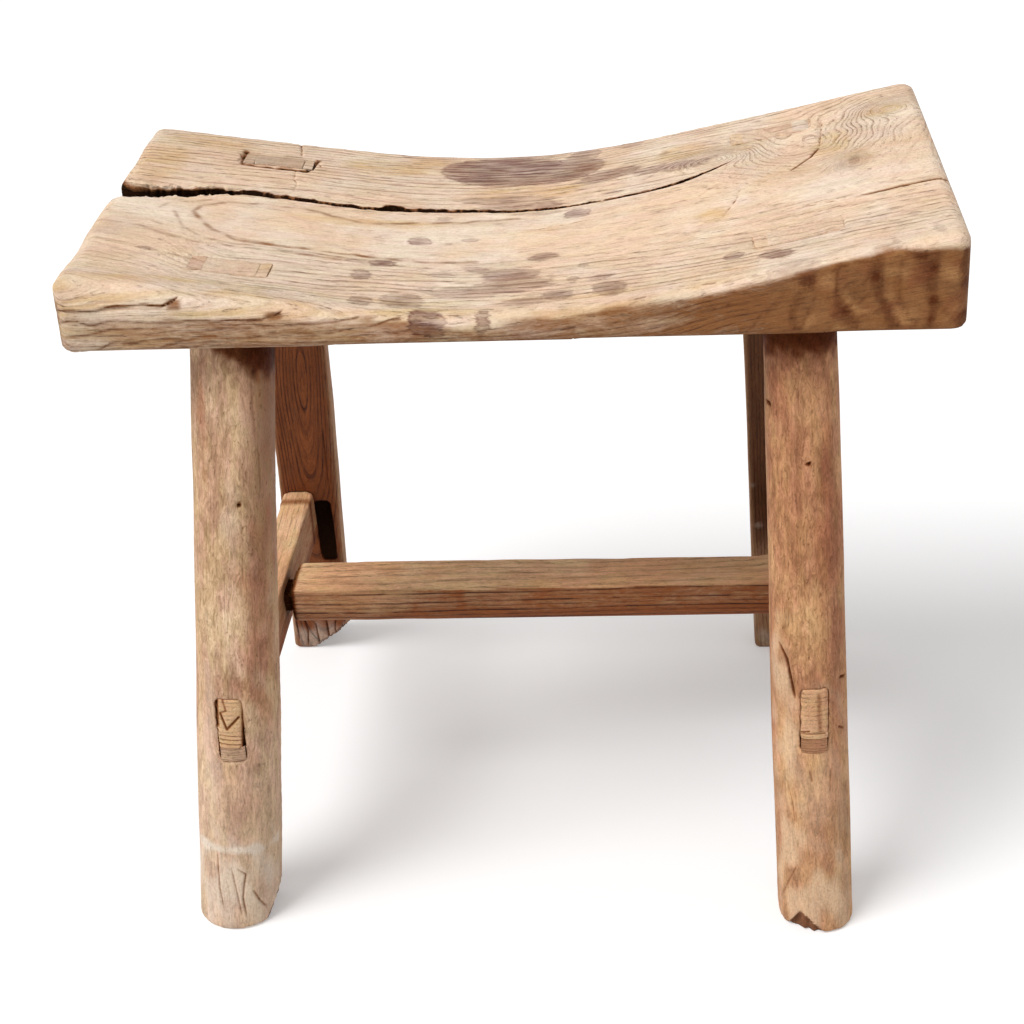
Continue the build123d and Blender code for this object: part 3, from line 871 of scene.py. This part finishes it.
leg_axes = {  # foot, top, width at the foot and top, where the flat lies, which end, seed
    "front_left": LegAxes((-175.5, -149.5, 0), (-154.5, -88, 362.3), 50, 46, 14, -1, 40),
    "front_right": LegAxes((173.5, -149.5, 0), (156, -88, 367.7), 45.5, 40.5, 14, -1, 50),
    "back_left": LegAxes((-165, 151.5, 0), (-154, 95.5, 362.3), 43, 41, 12, 1, 60),
    "back_right": LegAxes((172, 151.5, 0), (150.5, 95.5, 367.6), 41.5, 40.5, 12, 1, 70),
}

# %% [markdown]
# Marks on the legs, as places up and across each leg in millimetres: cracks with a width and
# a depth, small holes, and soft patches. A patch has a place, two half sizes and a strength.

# %% Marks on the legs
leg_cracks = {
    "front_left": [
        (0.6, 0.7, [(49, -9.6), (36, -9.2), (23, -8.4), (8, -5)]),
        (0.6, 0.6, [(38, 0), (30, 1.4), (20, 3.4), (6, 6)]),
        (0.7, 0.8, [(38, 3), (34, 8.5), (27, 7.4), (18, 6.6), (5, 8.8)]),
        (0.7, 0.8, [(23, 12.5), (15, 16), (8, 20)]), (0.5, 0.4, [(240, 9), (219, 9)]),
        (0.5, 0.35, [(338, -10.5), (316, -8.5)]), (0.6, 0.4, [(342, 14.5), (322, 15), (303, 16.5)]),
        (0.5, 0.4, [(300, 17.5), (272, 18.5)]), (0.5, 0.3, [(200, -14), (168, -13)]),
    ],
    "front_right": [
        (0.8, 1.5, [(181, -17.8), (178, -16.5), (172, -13.6), (160, -11.5), (148, -9.4)]),
        (0.5, 0.5, [(96, -15.5), (84, -13), (69, -11.5)]),
        (0.5, 0.5, [(14, -21.5), (28, -17), (42, -11)]), (0.9, 1.4, [(158, 17), (156, 20.4)]),
        (0.7, 0.9, [(128, 15.5), (125, 19)]), (0.5, 0.4, [(250, -6), (228, -5)]),
        (0.6, 0.6, [(104, -2.5), (96, -1)]), (0.6, 0.5, [(104, 10), (88, 9)]),
        (0.5, 0.3, [(330, 4), (296, 4.5)]), (0.5, 0.3, [(322, 13), (300, 14)]),
        (0.5, 0.4, [(222, -2), (212, -3), (205, -1)]),
    ],
    "back_left": [
        (0.6, 0.6, [(200, 14), (150, 14.5)]), (0.5, 0.5, [(120, -6), (70, -8)]),
        (0.8, 1.2, [(30, 4), (0, 6)]), (0.7, 1.0, [(34, -13), (18, -10), (2, -11)]),
        (0.7, 1.0, [(26, -4), (2, -2)]), (0.6, 0.9, [(38, 12), (20, 10), (6, 14)]),
        (0.6, 0.8, [(30, -18), (8, -17)]),
    ],
    "back_right": [
        (0.6, 0.6, [(240, 3), (170, 5)]), (0.6, 0.8, [(60, -6), (8, -9)]),
        (0.5, 0.5, [(330, -8), (290, -6)]),
    ],
}
tenon_tops = {  # skin, ash, pale, lines
    "front_left": (0.0, 0.4, 0.0, 0.25), "front_right": (0.0, 0.15, 0.0, 0.5),
    "back_left": (0.3, 0.0, 0.0, 1.0), "back_right": (0.0, 0.4, 0.0, 0.6),
}
leg_holes = {"front_left": [(267, 7.5)], "front_right": [(320, -19.3), (288, 1.5)]}
chalk_patches = {
    "front_left": [
        (50, 0, 5, 60, 1.3), (30, 22, 22, 6, 0.9), (22, 0, 48, 44, 0.85), (262, 3, 30, 6, 0.3),
        (100, -12, 80, 10, 0.4),
    ],
    "front_right": [
        (160, -17, 34, 6, 0.7), (22, 12, 26, 11, 0.8), (60, -14, 50, 10, 0.7),
        (118, -14, 44, 10, 0.65), (12, -4, 34, 34, 0.7), (90, 2, 70, 30, 0.35),
    ],
    "back_left": [(10, 0, 24, 44, 0.5)],
    "back_right": [(10, 0, 24, 40, 0.4), (150, -18, 3, 3, 0.3), (116, -15, 3, 3, 0.3)],
}
blush_patches = {
    "front_left": [
        (205, 15, 70, 10, 0.6), (165, 13, 40, 12, 0.6), (318, -14, 34, 4, 0.7),
        (70, 6, 20, 12, 0.5), (120, -4, 60, 20, 0.35),
    ],
    "front_right": [
        (250, 12, 90, 10, 0.5), (120, 12, 60, 10, 0.5), (330, -12, 30, 8, 0.4),
        (150, 8, 60, 14, 0.35),
    ],
}


def soft_patches(a, u, patches, spots):
    """The strongest of some soft patches at each place, with a ragged outline."""
    field = np.zeros(len(a))
    ragged = 0.35 * waves(spots, 12, 81, stretch=(2, 1, 1))
    for ca, cu, ra, ru, strength in patches:
        inside = 1 - np.hypot((a - ca) / ra, (u - cu) / ru) + ragged
        field = np.maximum(field, strength * soft_step(inside, -0.15, 0.9))
    return field


print("cracks in the legs:", sum(map(len, leg_cracks.values())))

# %% [markdown]
# A foot wears round at its rim, because it is dragged over hard floors, and pieces break off
# it. The rim is pulled in near the floor. The front left foot has lost its outer corner, the
# front right one has a notch, and the back left one ends in torn fibres.

# %% Feet
def wear_foot(name, a, u, v, height):
    """Moves points near the floor in. Gives the new u and v, and how freshly broken they are."""
    rim = 2.6 + 0.7 * waves((a * 0, u, v), 18, 82)
    low = np.clip(rim - height, 0, None)
    shrink = 1 - (rim - np.sqrt(np.maximum(rim ** 2 - low ** 2, 0))) / 23 * (low > 0)
    u, v, broken = u * shrink, v * shrink, np.zeros(len(a))
    if name == "front_left":
        limit = 19 + 0.42 * height + 0.5 * waves((a, u, v), 6, 83)
        broken = soft_step(u - limit, -0.5, 0.5) * (height < 14)
        u = np.where(height < 14, np.minimum(u, limit), u)
    if name == "front_right":
        left, right = -18 + 0.55 * height, 5 - 1.02 * height
        broken = soft_step(np.minimum(u - left, right - u), 0, 1.6) * (v < 0)
        broken = broken * soft_step(-height, -16, -12)
        torn = 3.4 + 0.8 * waves((a * 0, u, v * 0), 4.5, 84)
        v = v + broken * torn * soft_step(16 - height, 0, 9)
    return u, v, broken


# %% [markdown]
# Each leg is shaved by the one rule, cracked, and holed by worms. Its tenon keeps its place in
# the plank and is widened to fill its socket, as a wedged tenon is, and its top is worn down
# with the seat round it. The back left one has shrunk, so it isn't widened, and it is left a
# little low.

# %% Legs
leg_voxel = 0.00155
pieces, shaped = {}, {}
for name, leg in leg_axes.items():
    piece = fine_copy(f"leg_{name}", leg_voxel, f"leg_{name}_wood")
    for reach in (2.6, 1.6):
        a, u, v = leg.read(points_of(piece.data))
        refine(piece.data, (nearest_line(a, u, leg_cracks[name]) < reach) & (v < 0))
    points, normals = points_of(piece.data), normals_of(piece.data)
    a, u, v = leg.read(points)
    visible = v < 0
    outside = np.maximum(np.hypot(u, v) - leg.radius(a), (-leg.end * v) - leg.flat)
    outer = soft_step(outside, -1.6, -0.6)
    above_underside = plank_axes(points)[:, 2]
    in_plank = above_underside > 0.6
    shaft = outer * soft_step(-above_underside, -0.5, 1.0) * soft_step(points[:, 2], 0.0, 1.0)
    groove, dark = np.zeros((2, len(a)))
    for width, depth, line in leg_cracks[name]:
        away, along = line_distance(a, u, line)
        taper = fade_ends(along, 6) * visible
        groove = np.maximum(groove, depth * taper * bell(away, width))
        dark = np.maximum(dark, min(1.0, 0.04 + 0.42 * depth) * taper * bell(away, width))
    for hole_a, hole_u in leg_holes.get(name, []):
        away = np.hypot(a - hole_a, u - hole_u)
        groove = np.maximum(groove, 1.6 * bell(away, 1.2, 4) * visible)
        dark = np.maximum(dark, 0.95 * bell(away, 1.3, 4) * visible)
    moved = points - normals * ((leg.shaved(a, u, v) + groove) * shaft)[:, None]
    ma, mu, mv = leg.read(moved)
    mu, mv, broken = wear_foot(name, ma, mu, mv, moved[:, 2])
    if name == "back_left":
        torn = soft_step(-a, -34, -22) * soft_step(u, -20, 6)
        fibres = waves((a * 0.15, u, v), 3.0, 85) + waves((a * 0.1, u, v), 6.5, 86)
        ma = ma + np.clip(2.2 + 2.2 * fibres, 0, 6) * torn * (normals[:, 2] < -0.3)
        broken = np.maximum(broken, torn * (normals[:, 2] < -0.2))
    moved = leg.write(ma, mu, mv)
    moved[:, 2] = np.maximum(moved[:, 2], 0)
    tight, top_lift = (0.0, -0.4) if name == "back_left" else (1.0, 0.08)
    fitted = leg.write(a, u + widened(u, in_plank, tight), v + widened(v, in_plank, tight))
    top_place = plank_axes(fitted)
    worn_top = saddle(top_place[:, 0]) - top_wear(top_place[:, 0], top_place[:, 1]) + top_lift
    at_top = in_plank & (top_place[:, 2] > worn_top - 1.1)
    top_place[:, 2] = np.where(at_top, worn_top, top_place[:, 2])
    moved[in_plank] = stool_axes(top_place)[in_plank]
    move_points(piece.data, moved)
    shaped[name] = piece, (a, u, v), visible, outer, in_plank, top_place, dark, broken
    print(piece.name, "deepest crack in mm:", round(float(groove.max()), 1))

# %% [markdown]
# The flat inside of a leg shows rings, and keeps more of its old brown than the round outside,
# which hands and feet rubbed pale. Damp floors left chalk near the feet. A tenon's top is the
# plank's colour, and has the plank's grain so that it sits quietly in it, but for the loose one.

# %% What the legs' material reads
for name, leg in leg_axes.items():
    piece, (a, u, v), visible, outer, in_plank, top_place, dark, broken = shaped[name]
    spots = (a, u, v)
    flat_side = soft_step(-leg.end * v, leg.flat - 2.5, leg.flat - 1) * (1 - in_plank)
    if name == "back_left":
        rings = np.hypot(u - 3, (a - 236) / 7.5) / 2.1
        rings = rings + 0.25 * waves(spots, 30, 87, stretch=(3, 1, 1))
        top_grain = (a, v / 1.6, v)
    else:
        rings = np.hypot(u - 5, 0.07 * (a - 180)) / 2.2
        rings = rings + 0.3 * waves(spots, 60, leg.seed + 2, stretch=(4, 1, 1))
        top_grain = plank_rings(top_place)
    grain = [np.where(in_plank, above, below) for above, below in zip(top_grain, (a, rings, v))]
    front_left = name == "front_left"
    rise = a + 2.5 * waves(spots, 9, 88) + (0.5 * u - 7 if front_left else 0)
    # A band at the top of each leg is painted dark: painted shadow of the seat, with some real
    # stain.
    under_seat_shadow_and_stain = soft_step(rise, leg.length - 34, leg.length - 14) * (1 - in_plank)
    # The front left leg's right side is painted darker towards its top: painted shade, on its skin.
    painted_shade_right = soft_step(u, 6, 22) * np.interp(a, (150, 300), (0.12, 0.62)) if front_left else 0.0
    # The faces inside the mortises are painted near black: painted shade in the holes.
    mortise_painted_shade = (1 - outer) * (1 - in_plank) * (a > 20)
    patina = np.clip(np.maximum(flat_side, 0.6 * under_seat_shadow_and_stain) + painted_shade_right, 0, 1)
    if name == "back_right":
        patina = patina * (1 - 0.75 * soft_step(-a, -125, -70))
    top_skin, top_ash, top_pale, top_lines = tenon_tops[name]
    patina = np.where(in_plank, top_skin, np.maximum(patina, 0.8 * broken))
    rubbed = soft_step(np.abs(u), leg.radius(a) - 4.5, leg.radius(a) - 2) * (a < 400)
    patina = patina * (1 - 0.45 * flat_side * rubbed)
    dark = strongest(dark, 0.6 * under_seat_shadow_and_stain * (1 - flat_side), mortise_painted_shade, 0.25 * broken)
    chalk = soft_patches(a, u, chalk_patches[name], spots)
    chalk = chalk * np.maximum(visible, soft_step(-a, -34, -8))
    if "front" in name:
        low_chalk = (0.36 if front_left else 0.14) * soft_step(-a, -170, -10)
        chalk = np.maximum(chalk, low_chalk) * (1 - 0.8 * broken)
    honey = 0.25 * soft_step(-a, -130, -20) if name == "front_right" else 0.0
    blush = soft_patches(a, u, blush_patches.get(name, []), spots) * visible * (1 - in_plank)
    line_share = np.where(in_plank, top_lines, 0.18 + 0.82 * flat_side)
    store_wood(
        piece.data, grain, (a, u, v), (patina, -1, 0),
        (dark * (1 - in_plank), honey, top_ash * in_plank),
        (line_share, np.where(in_plank, top_pale, chalk), blush),
    )
    finish_piece(piece, "leg_wood", f"leg_{name}")
    for face in piece.data.polygons:
        face.material_index = int(in_plank[list(face.vertices)].all())
    pieces[f"leg_{name}"] = piece

# %% [markdown]
# The side rails run through the legs, and the middle rail is tenoned through them, with one
# shoulder that has drawn away a little. Their ends show on the round fronts of the legs, so
# these ends are moved by the same rule as the legs, and are pressed out to fill their holes.

# %% Rails
def follow_leg(points, normals, tight):
    """Moves the joint ends that show on a leg's round side in with the leg, and widens them."""
    moved, at_end = points.copy(), np.zeros(len(points))
    for leg in leg_axes.values():
        a, u, v = leg.read(points)
        reach = np.hypot(u, v)
        on_round = (v * leg.end > 4) * (np.abs(u) < 24)
        beyond = soft_step(reach - leg.radius(a), -2.2, -0.8) * on_round
        outward = leg.side * (u / reach)[:, None] + leg.back * (v / reach)[:, None]
        sideways = np.clip(1 - np.abs((normals * outward).sum(1)) ** 2, 0, 1)
        widen = tight * sideways * soft_step(reach - leg.radius(a), -9, -5) * on_round
        moved -= outward * (beyond * (leg.shaved(a, u, v) - 0.12))[:, None]
        moved += normals * widen[:, None]
        at_end = np.maximum(at_end, beyond)
    return moved, at_end


end_marks = {  # on the side rails' front ends, in the leg's axes: width, depth and the line
    "side_rail_left": [
        (1.2, 1.4, [(149, -8), (143, -8), (131, -7.6)]),
        (0.8, 0.9, [(139, -5.5), (129, -1.5), (137, 5.5)]),
        (1.2, 1.5, [(146, 8.2), (128, 8.4), (118, 8.4)]), (0.4, 0.5, [(125, -6), (124.5, 7)]),
        (0.4, 0.5, [(122.4, -6), (122, 7)]), (0.4, 0.6, [(119.6, -6.5), (119.2, 7)]),
        (0.8, 0.55, [(148, -4), (141, -2), (139, -5.5)]),
    ],
    "side_rail_right": [
        (0.5, 0.5, [(127, -6.5), (126.6, 7)]), (1.6, 0.4, [(150, 4), (128, 4.2)]),
        (0.6, 0.6, [(128, -6), (128.5, -2)]),
    ],
}
rail_voxel = 0.0015
shoulder_x, shoulder_round = -152.5, 5.5
for node in ("side_rail_left", "side_rail_right", "middle_rail"):
    piece = fine_copy(node, rail_voxel, f"{node}_wood")
    middle = node == "middle_rail"
    front_leg = leg_axes["front_right" if "right" in node else "front_left"]
    for reach in (2.6, 1.6) if node in end_marks else ():
        la, lu, lv = front_leg.read(points_of(piece.data))
        near = nearest_line(la, lu, end_marks[node])
        on_end = (np.hypot(lu, lv) > front_leg.radius(la) - 2.5) & (lv < -4)
        refine(piece.data, (near < reach) & on_end)
    points, normals = points_of(piece.data), normals_of(piece.data)
    la, lu, lv = front_leg.read(points)
    x, y, v = points.T
    a, u = (x, y) if middle else (y, x)
    u0 = (u.max() + u.min()) / 2
    v_in = v - np.polyval(np.polyfit(a, v, 1), a)
    spots = (a, u, v)
    slow, quick = waves(spots, 60, 91, stretch=(3, 1, 1)), waves(spots, 12, 92, stretch=(4, 1, 1))
    inward = np.clip(0.3 + 0.35 * slow + 0.12 * quick, 0, 1.2)
    shaved_to = 150 if middle else 104
    moved = points - normals * (inward * soft_step(shaved_to - np.abs(a), 0, 8))[:, None]
    if middle:
        end_round = np.clip(shoulder_round - (a - shoulder_x), 0, shoulder_round)
        end_round = end_round * (a > shoulder_x - 1)
        pull = shoulder_round - np.sqrt(np.maximum(shoulder_round ** 2 - end_round ** 2, 0))
        pull = pull * (np.abs(u - u0) > 8)
        moved[:, 1] -= np.sign(u - u0) * pull * 0.6
        moved[:, 2] -= pull * 0.8 * (v_in > 4)
    moved, at_end = follow_leg(moved, normals, 0.0 if middle else 0.7)
    marks = np.zeros(len(a))
    for width, depth, line in end_marks.get(node, []):
        mark = depth * bell(line_distance(la, lu, line)[0], width) * at_end * (y < 0)
        marks = np.maximum(marks, mark)
    moved[:, 1] += 0.8 * marks
    move_points(piece.data, moved)
    # Faces turned up, which are painted paler: painted light.
    painted_light_on_top = soft_step(normals[:, 2], 0.4, 0.8)
    if middle:
        rings = np.hypot(u - u0 + 30 - 0.02 * a, v_in + 46) / 3.1
        rings = rings + 0.35 * waves(spots, 80, 90, stretch=(3, 1, 1))
        # Top faces are painted paler and low faces darker: painted light and shade, on the rail's
        # old skin.
        patina = 0.72 + 0.28 * soft_step(-v_in, -2, 8) - 0.76 * painted_light_on_top
        patina = np.clip(patina + 0.35 * painted_light_on_top * soft_step(a, 20, 110), 0, 1)
        patina = patina * (1 - 0.28 * soft_step(-a, 40, 110) * (1 - painted_light_on_top))
        along_line = np.maximum(soft_step(-normals[:, 1], 0.3, 0.8), 0.75)
        # The middle rail's end is painted dark: painted shade in its shoulder gap.
        painted_gap_shade = soft_step(-a, 148, 152)  # in the gap, and on the tenon through to its end
    else:
        rings = np.hypot(u - u0 + 40, v_in + 22) / 2.8
        rings = rings + 0.3 * waves(spots, 70, 93, stretch=(3, 1, 1))
        # Top faces are painted paler and low faces darker: painted light and shade, on the rail's
        # old skin.
        patina = np.clip(0.6 - 0.55 * painted_light_on_top + 0.35 * soft_step(-v_in, 2, 12), 0, 1)
        along_line = 0.45
        # Painted shade where the side rails meet the legs.
        painted_gap_shade = bell(np.abs(a) - 104, 5) * 0.4
    at_back = y > 0
    ends = at_end > 0.5
    patina = np.where(ends, 0.25 + 0.35 * at_back, patina)
    crevice = np.maximum(np.clip(painted_gap_shade * (1 - at_end), 0, 0.8), np.clip(0.75 * marks, 0, 1))
    store_wood(
        piece.data, (a, np.where(ends, v / 2.6, rings), v_in + u), (a, u, v_in), (patina, -1, 0),
        (crevice, 0.3 * at_end, 0.4 * at_end * at_back),
        (along_line, 0.1 * at_end, (0.3 if "right" in node else 0.0) * at_end),
    )
    finish_piece(piece, "rail_wood", node)
    pieces[node] = piece

# %% [markdown]
# The wedges are small slips that were driven in beside the tenons and cut off flush. They
# keep their CAD shape, with more faces, and follow the worn surfaces round them. Each one
# came from another scrap, so each has a tint of its own.

# %% Wedges
wedge_tints = {  # of the seat's: skin, honey, ash, pale, blush
    "front_left_outer": (0.1, 0.0, 0.45, 0.0, 0.25), "front_left_inner": (0.08, 0.5, 0.2, 0.0, 0.0),
    "front_right_outer": (0.03, 0.0, 0.2, 0.0, 0.0), "front_right_inner": (0.0, 0.1, 0.1, 0.0, 0.0),
    "back_left_outer": (0.4, 0.3, 0.2, 0.0, 0.0), "back_left_inner": (0.35, 0.3, 0.0, 0.0, 0.0),
    "back_right_outer": (0.05, 0.0, 0.5, 0.0, 0.0), "back_right_inner": (0.05, 0.5, 0.1, 0.0, 0.0),
}
for node in sorted(nodes):
    if "wedge" not in node:
        continue
    piece = bpy.data.objects.new(f"{node}_wood", nodes[node].data.copy())
    piece.data.materials.clear()
    scene.collection.objects.link(piece)
    shape = bmesh.new()
    shape.from_mesh(piece.data)
    bmesh.ops.remove_doubles(shape, verts=shape.verts, dist=merge_distance)
    bmesh.ops.subdivide_edges(shape, edges=shape.edges, cuts=3, use_grid_fill=True)
    shape.to_mesh(piece.data)
    shape.free()
    points, normals = points_of(piece.data), normals_of(piece.data)
    if node.startswith("seat_wedge"):
        tight, sunk = (0.0, 0.6) if "back_left" in node else (0.9, 0)
        place = plank_axes(points)
        for k in (0, 1):
            column = place[:, k]
            place[:, k] = column + np.sign(column - (column.max() + column.min()) / 2) * tight
        high = soft_step(place[:, 2] - saddle(place[:, 0]), -3, -0.5)
        place[:, 2] -= high * (top_wear(place[:, 0], place[:, 1]) - 0.06 + sunk)
        points = stool_axes(place)
        grain = plank_rings(place)
    else:
        points, _ = follow_leg(points, normals, 0.0)
        grain = (points[:, 1], points[:, 2] / 1.6, points[:, 0])
    move_points(piece.data, points)
    tints = wedge_tints.get(node.removeprefix("seat_wedge_"), (0.3, 0.1, 0.1, 0.1, 0.1))
    skin, honey, ash, chalk, blush = tints
    store_wood(piece.data, grain, points.T, (skin, -1, 0), (0, honey, ash), (0.7, chalk, blush))
    finish_piece(piece, "wedge_wood", node, smooth=False)
    pieces[node] = piece

# %% [markdown]
# Elm is pale, with a row of open pores at the start of each year. The rows show as broken
# brown lines, and old dry wood has them as furrows. The shader reads the ring number that
# each vertex keeps, so the lines bend round knots and cross the edges as real ones do.

# %% Elm
def elm(name, pale, warm, skin, line, pores=0.5, streaks=1.0, mottle=0.3, relief=1.0,
        line_tint=(176, 138, 112), chalk_tint=(236, 217, 197)):
    """Old elm. Pale and warm are its two tints, and skin is the brown that wear never reached."""
    material = bpy.data.materials.new(name)
    material.use_nodes = True
    g = Graph(material.node_tree)
    shader = material.node_tree.nodes["Principled BSDF"]
    roughness = 0.68

    def read(attribute):
        vector = g.add("ShaderNodeAttribute", attribute_name=attribute, out=1)
        return g.add("ShaderNodeSeparateXYZ", vector).node.outputs

    grain_x, ring, aside = read("grain")
    patina, stain, stain_depth = read("tone")
    crevice, honey, ash = read("marks")
    line_share, chalk, blush = read("lines")
    here = g.add("ShaderNodeAttribute", attribute_name="place", out=1)

    def along_grain(run, over, turn, detail=3, rough=0.5):
        """Noise scaled along the grain, across the rings and round the heart."""
        place = [g.times(*pair) for pair in ((grain_x, run), (ring, over), (aside, turn))]
        return g.noise(g.add("ShaderNodeCombineXYZ", *place), 1.0, detail, rough)

    def blotches(scale, detail, rough, twist=0.0):
        """Noise in the piece's own place, drawn out along it."""
        place = g.add("ShaderNodeVectorMath", here, scale, operation="MULTIPLY")
        return g.noise(place, 1.0, detail, rough, twist)

    def chance(number):
        """A random share for each whole number."""
        whole = g.math("FLOOR", number)
        return g.add("ShaderNodeTexWhiteNoise", None, whole, noise_dimensions="1D")

    def tinted(share, tint):
        """The colour so far, with a share of it multiplied by a tint."""
        tint = paint(*tint) if isinstance(tint, tuple) else tint
        return g.mix(share, colour, tint, "MULTIPLY")

    def lit(light, red, blue):
        """The colour so far times a light that changes its red less and its blue more."""
        powers = g.math("POWER", light, red), light, g.math("POWER", light, blue)
        return g.mix(1.0, colour, g.add("ShaderNodeCombineColor", *powers), "MULTIPLY")

    # Rows of open pores at each year, fibres, and patches
    ring_at = g.plus(ring, g.times(along_grain(16, 0.5, 30), 0.8))
    in_ring = g.math("FRACT", ring_at)
    broken = g.spread(along_grain(42, 0.9, 90, 4, 0.65), 0.36, 0.6, 0.2, 1.0)
    row = g.times(g.spread(in_ring, 0.0, 0.08), g.spread(in_ring, 0.48, 0.1),
                  g.spread(chance(ring_at), 0.0, 1.0, 0.35, 1.0), broken, line_share)
    fibre = along_grain(38, 5.0, 620, 5, 0.62)
    hair = along_grain(120, 9.0, 1500, 3, 0.6)
    drawn = g.spread(line_share, 0.1, 0.7, 0.5, 1.0)
    pore = g.times(g.spread(along_grain(100, 4.0, 760, 3, 0.6), 0.57, 0.68),
                   g.spread(in_ring, 0.85, 0.15, 0.25, 1.0), drawn)
    speck = g.noise(here, 620.0, 4, 0.65)
    patches = blotches((34, 95, 95), 5, 0.6, 0.8)
    strips = blotches((120, 380, 380), 4, 0.65, 1.4)
    dots = blotches((330, 560, 560), 3, 0.6, 0.6)

    # Two tints, the old skin, honey and ash
    colour = g.mix(g.spread(g.noise(here, 21.0, 4, 0.55), 0.36, 0.64), paint(*pale), paint(*warm))
    band = g.spread(chance(g.times(ring_at, 0.5)), 0.0, 1.0)
    colour = g.mix(g.times(band, 0.35), colour, paint(*warm))
    hue = g.spread(blotches((34, 110, 110), 4, 0.6), 0.38, 0.62)
    colour = tinted(min(0.9, mottle), g.mix(hue, paint(255, 240, 236), paint(252, 249, 228)))
    uneven = g.plus(g.times(patches, 0.9), g.times(strips, 0.7))
    worn_skin = g.spread(g.plus(patina, g.math("SUBTRACT", uneven, 0.8)), 0.06, 0.94)
    colour = g.mix(worn_skin, colour, paint(*skin))
    honeyed = g.spread(along_grain(30, 1.2, 120, 4), 0.35, 0.65, 0.3, 1.0)
    colour = tinted(g.times(honey, honeyed), (234, 218, 172))
    colour = tinted(g.times(ash, g.spread(fibre, 0.3, 0.7, 0.5, 1.0)), (214, 208, 208))

    # Streaks, mottle, grain lines and pores
    streak = g.times(g.spread(fibre, 0.28, 0.72, 1 - 0.13 * streaks, 1 + 0.1 * streaks),
                     g.spread(hair, 0.3, 0.7, 1 - 0.07 * streaks, 1 + 0.06 * streaks))
    streak = g.math("MULTIPLY_ADD", g.math("SUBTRACT", streak, 1.0), drawn, 1.0)
    colour = lit(g.times(streak, g.spread(speck, 0.3, 0.7, 0.93, 1.06)), 0.8, 1.25)
    mottled = g.times(g.spread(patches, 0.3, 0.7, 1 - 0.22 * mottle, 1 + 0.16 * mottle),
                      g.spread(strips, 0.3, 0.7, 1 - 0.2 * mottle, 1 + 0.16 * mottle),
                      g.spread(dots, 0.56, 0.72, 1.0, 1 - 0.3 * mottle))
    colour = lit(mottled, 0.85, 1.2)
    colour = tinted(g.times(row, line), line_tint)
    colour = tinted(g.times(pore, pores), (150, 112, 90))

    # Stains with ragged rims, blush, chalk, and dirt with painted shade
    edge = g.plus(along_grain(40, 2.4, 170, 5, 0.7), g.times(fibre, 0.5))
    ragged = g.plus(stain, g.times(g.math("SUBTRACT", edge, 0.75), 1.7))
    blot = g.ramp(ragged, [(0.0, 0), (0.1, 0.55), (0.2, 1), (0.36, 0.7), (1.0, 0.95)])
    blot = g.times(blot, stain_depth, g.spread(fibre, 0.25, 0.75, 1.35, 0.55))
    thin = g.spread(along_grain(60, 1.5, 60), 0.3, 0.7, 0.65, 1.2)
    colour = tinted(g.math("MULTIPLY", blot, thin, clamp=True), (145, 116, 115))
    colour = tinted(blush, (232, 190, 176))
    chalked = g.times(chalk, g.spread(speck, 0.3, 0.7, 0.6, 1.0))
    colour = g.mix(chalked, colour, paint(*chalk_tint))
    # Dirt in cracks, and painted shade in the split, the mortises, the rail gaps and under the
    # seat, tint the colour brown and then near black.
    dirt_and_shade = g.math("MULTIPLY", crevice, g.spread(speck, 0.25, 0.75, 1.12, 0.9), clamp=True)
    colour = tinted(g.spread(dirt_and_shade, 0.0, 0.5), (162, 124, 94))
    colour = g.mix(g.spread(dirt_and_shade, 0.4, 1.0), colour, paint(38, 23, 14))
    g.plug(shader, "Base Color", colour)
    g.plug(shader, "Roughness", g.spread(fibre, 0.2, 0.8, roughness + 0.1, roughness - 0.05))
    g.plug(shader, "Specular IOR Level", g.spread(dirt_and_shade, 0.0, 0.8, 0.3, 0.0))

    # Furrows in the surface
    furrow = g.plus(row, g.times(pore, 0.8))
    rise = g.plus(g.times(fibre, streaks), g.times(strips, 0.9 * mottle))
    bump = g.tree.nodes.new("ShaderNodeBump")
    bump.inputs["Strength"].default_value = 0.8
    bump.inputs["Distance"].default_value = 0.0009 * relief
    g.plug(bump, "Height", g.math("SUBTRACT", g.plus(rise, g.times(speck, 0.3)), furrow))
    g.plug(shader, "Normal", bump.outputs[0])
    return material


# %% [markdown]
# One recipe makes all the wood of the stool. The plank is the palest, the front legs are
# mottled poles with few lines, and the back legs and rails kept more of their brown. A slip
# takes the colour of what it was driven into.

# %% The woods of the stool
seat_elm = elm("seat_elm", (255, 236, 216), (251, 220, 191), (148, 95, 50), 0.75, pores=0.6,
               streaks=1.15, mottle=0.4, relief=1.3, chalk_tint=(205, 152, 96))
pole = {"line": 0.7, "pores": 0.3, "streaks": 0.4, "mottle": 1.5}
looks = {
    "leg_front_left": elm("leg_elm_front_left", (236, 206, 178), (214, 178, 147), (138, 86, 50),
                          **pole),
    "leg_front_right": elm("leg_elm_front_right", (222, 176, 134), (196, 143, 106), (138, 82, 46),
                           chalk_tint=(242, 210, 174), **pole),
    "leg_back_left": elm("leg_elm_back_left", (200, 160, 128), (180, 138, 104), (132, 71, 30), 1.0,
                         mottle=0.8, line_tint=(112, 72, 50)),
    "leg_back_right": elm("leg_elm_back_right", (200, 160, 128), (180, 138, 104), (104, 62, 30),
                          0.9, mottle=0.9),
    "rail": elm("rail_elm", (255, 222, 180), (246, 198, 152), (150, 84, 40), 1.0, mottle=0.7,
                line_tint=(96, 58, 38)),
}
for node, piece in pieces.items():
    if "seat_wedge" in node:
        look = seat_elm
    elif "rail_wedge" in node:
        look = looks[node.replace("rail_wedge", "leg")]
    else:
        look = looks.get(node, looks["rail"])
    piece.data.materials.append(look)
    if node.startswith("leg"):
        piece.data.materials.append(seat_elm)
seat.data.materials.append(seat_elm)
print("woods:", 1 + len(looks))
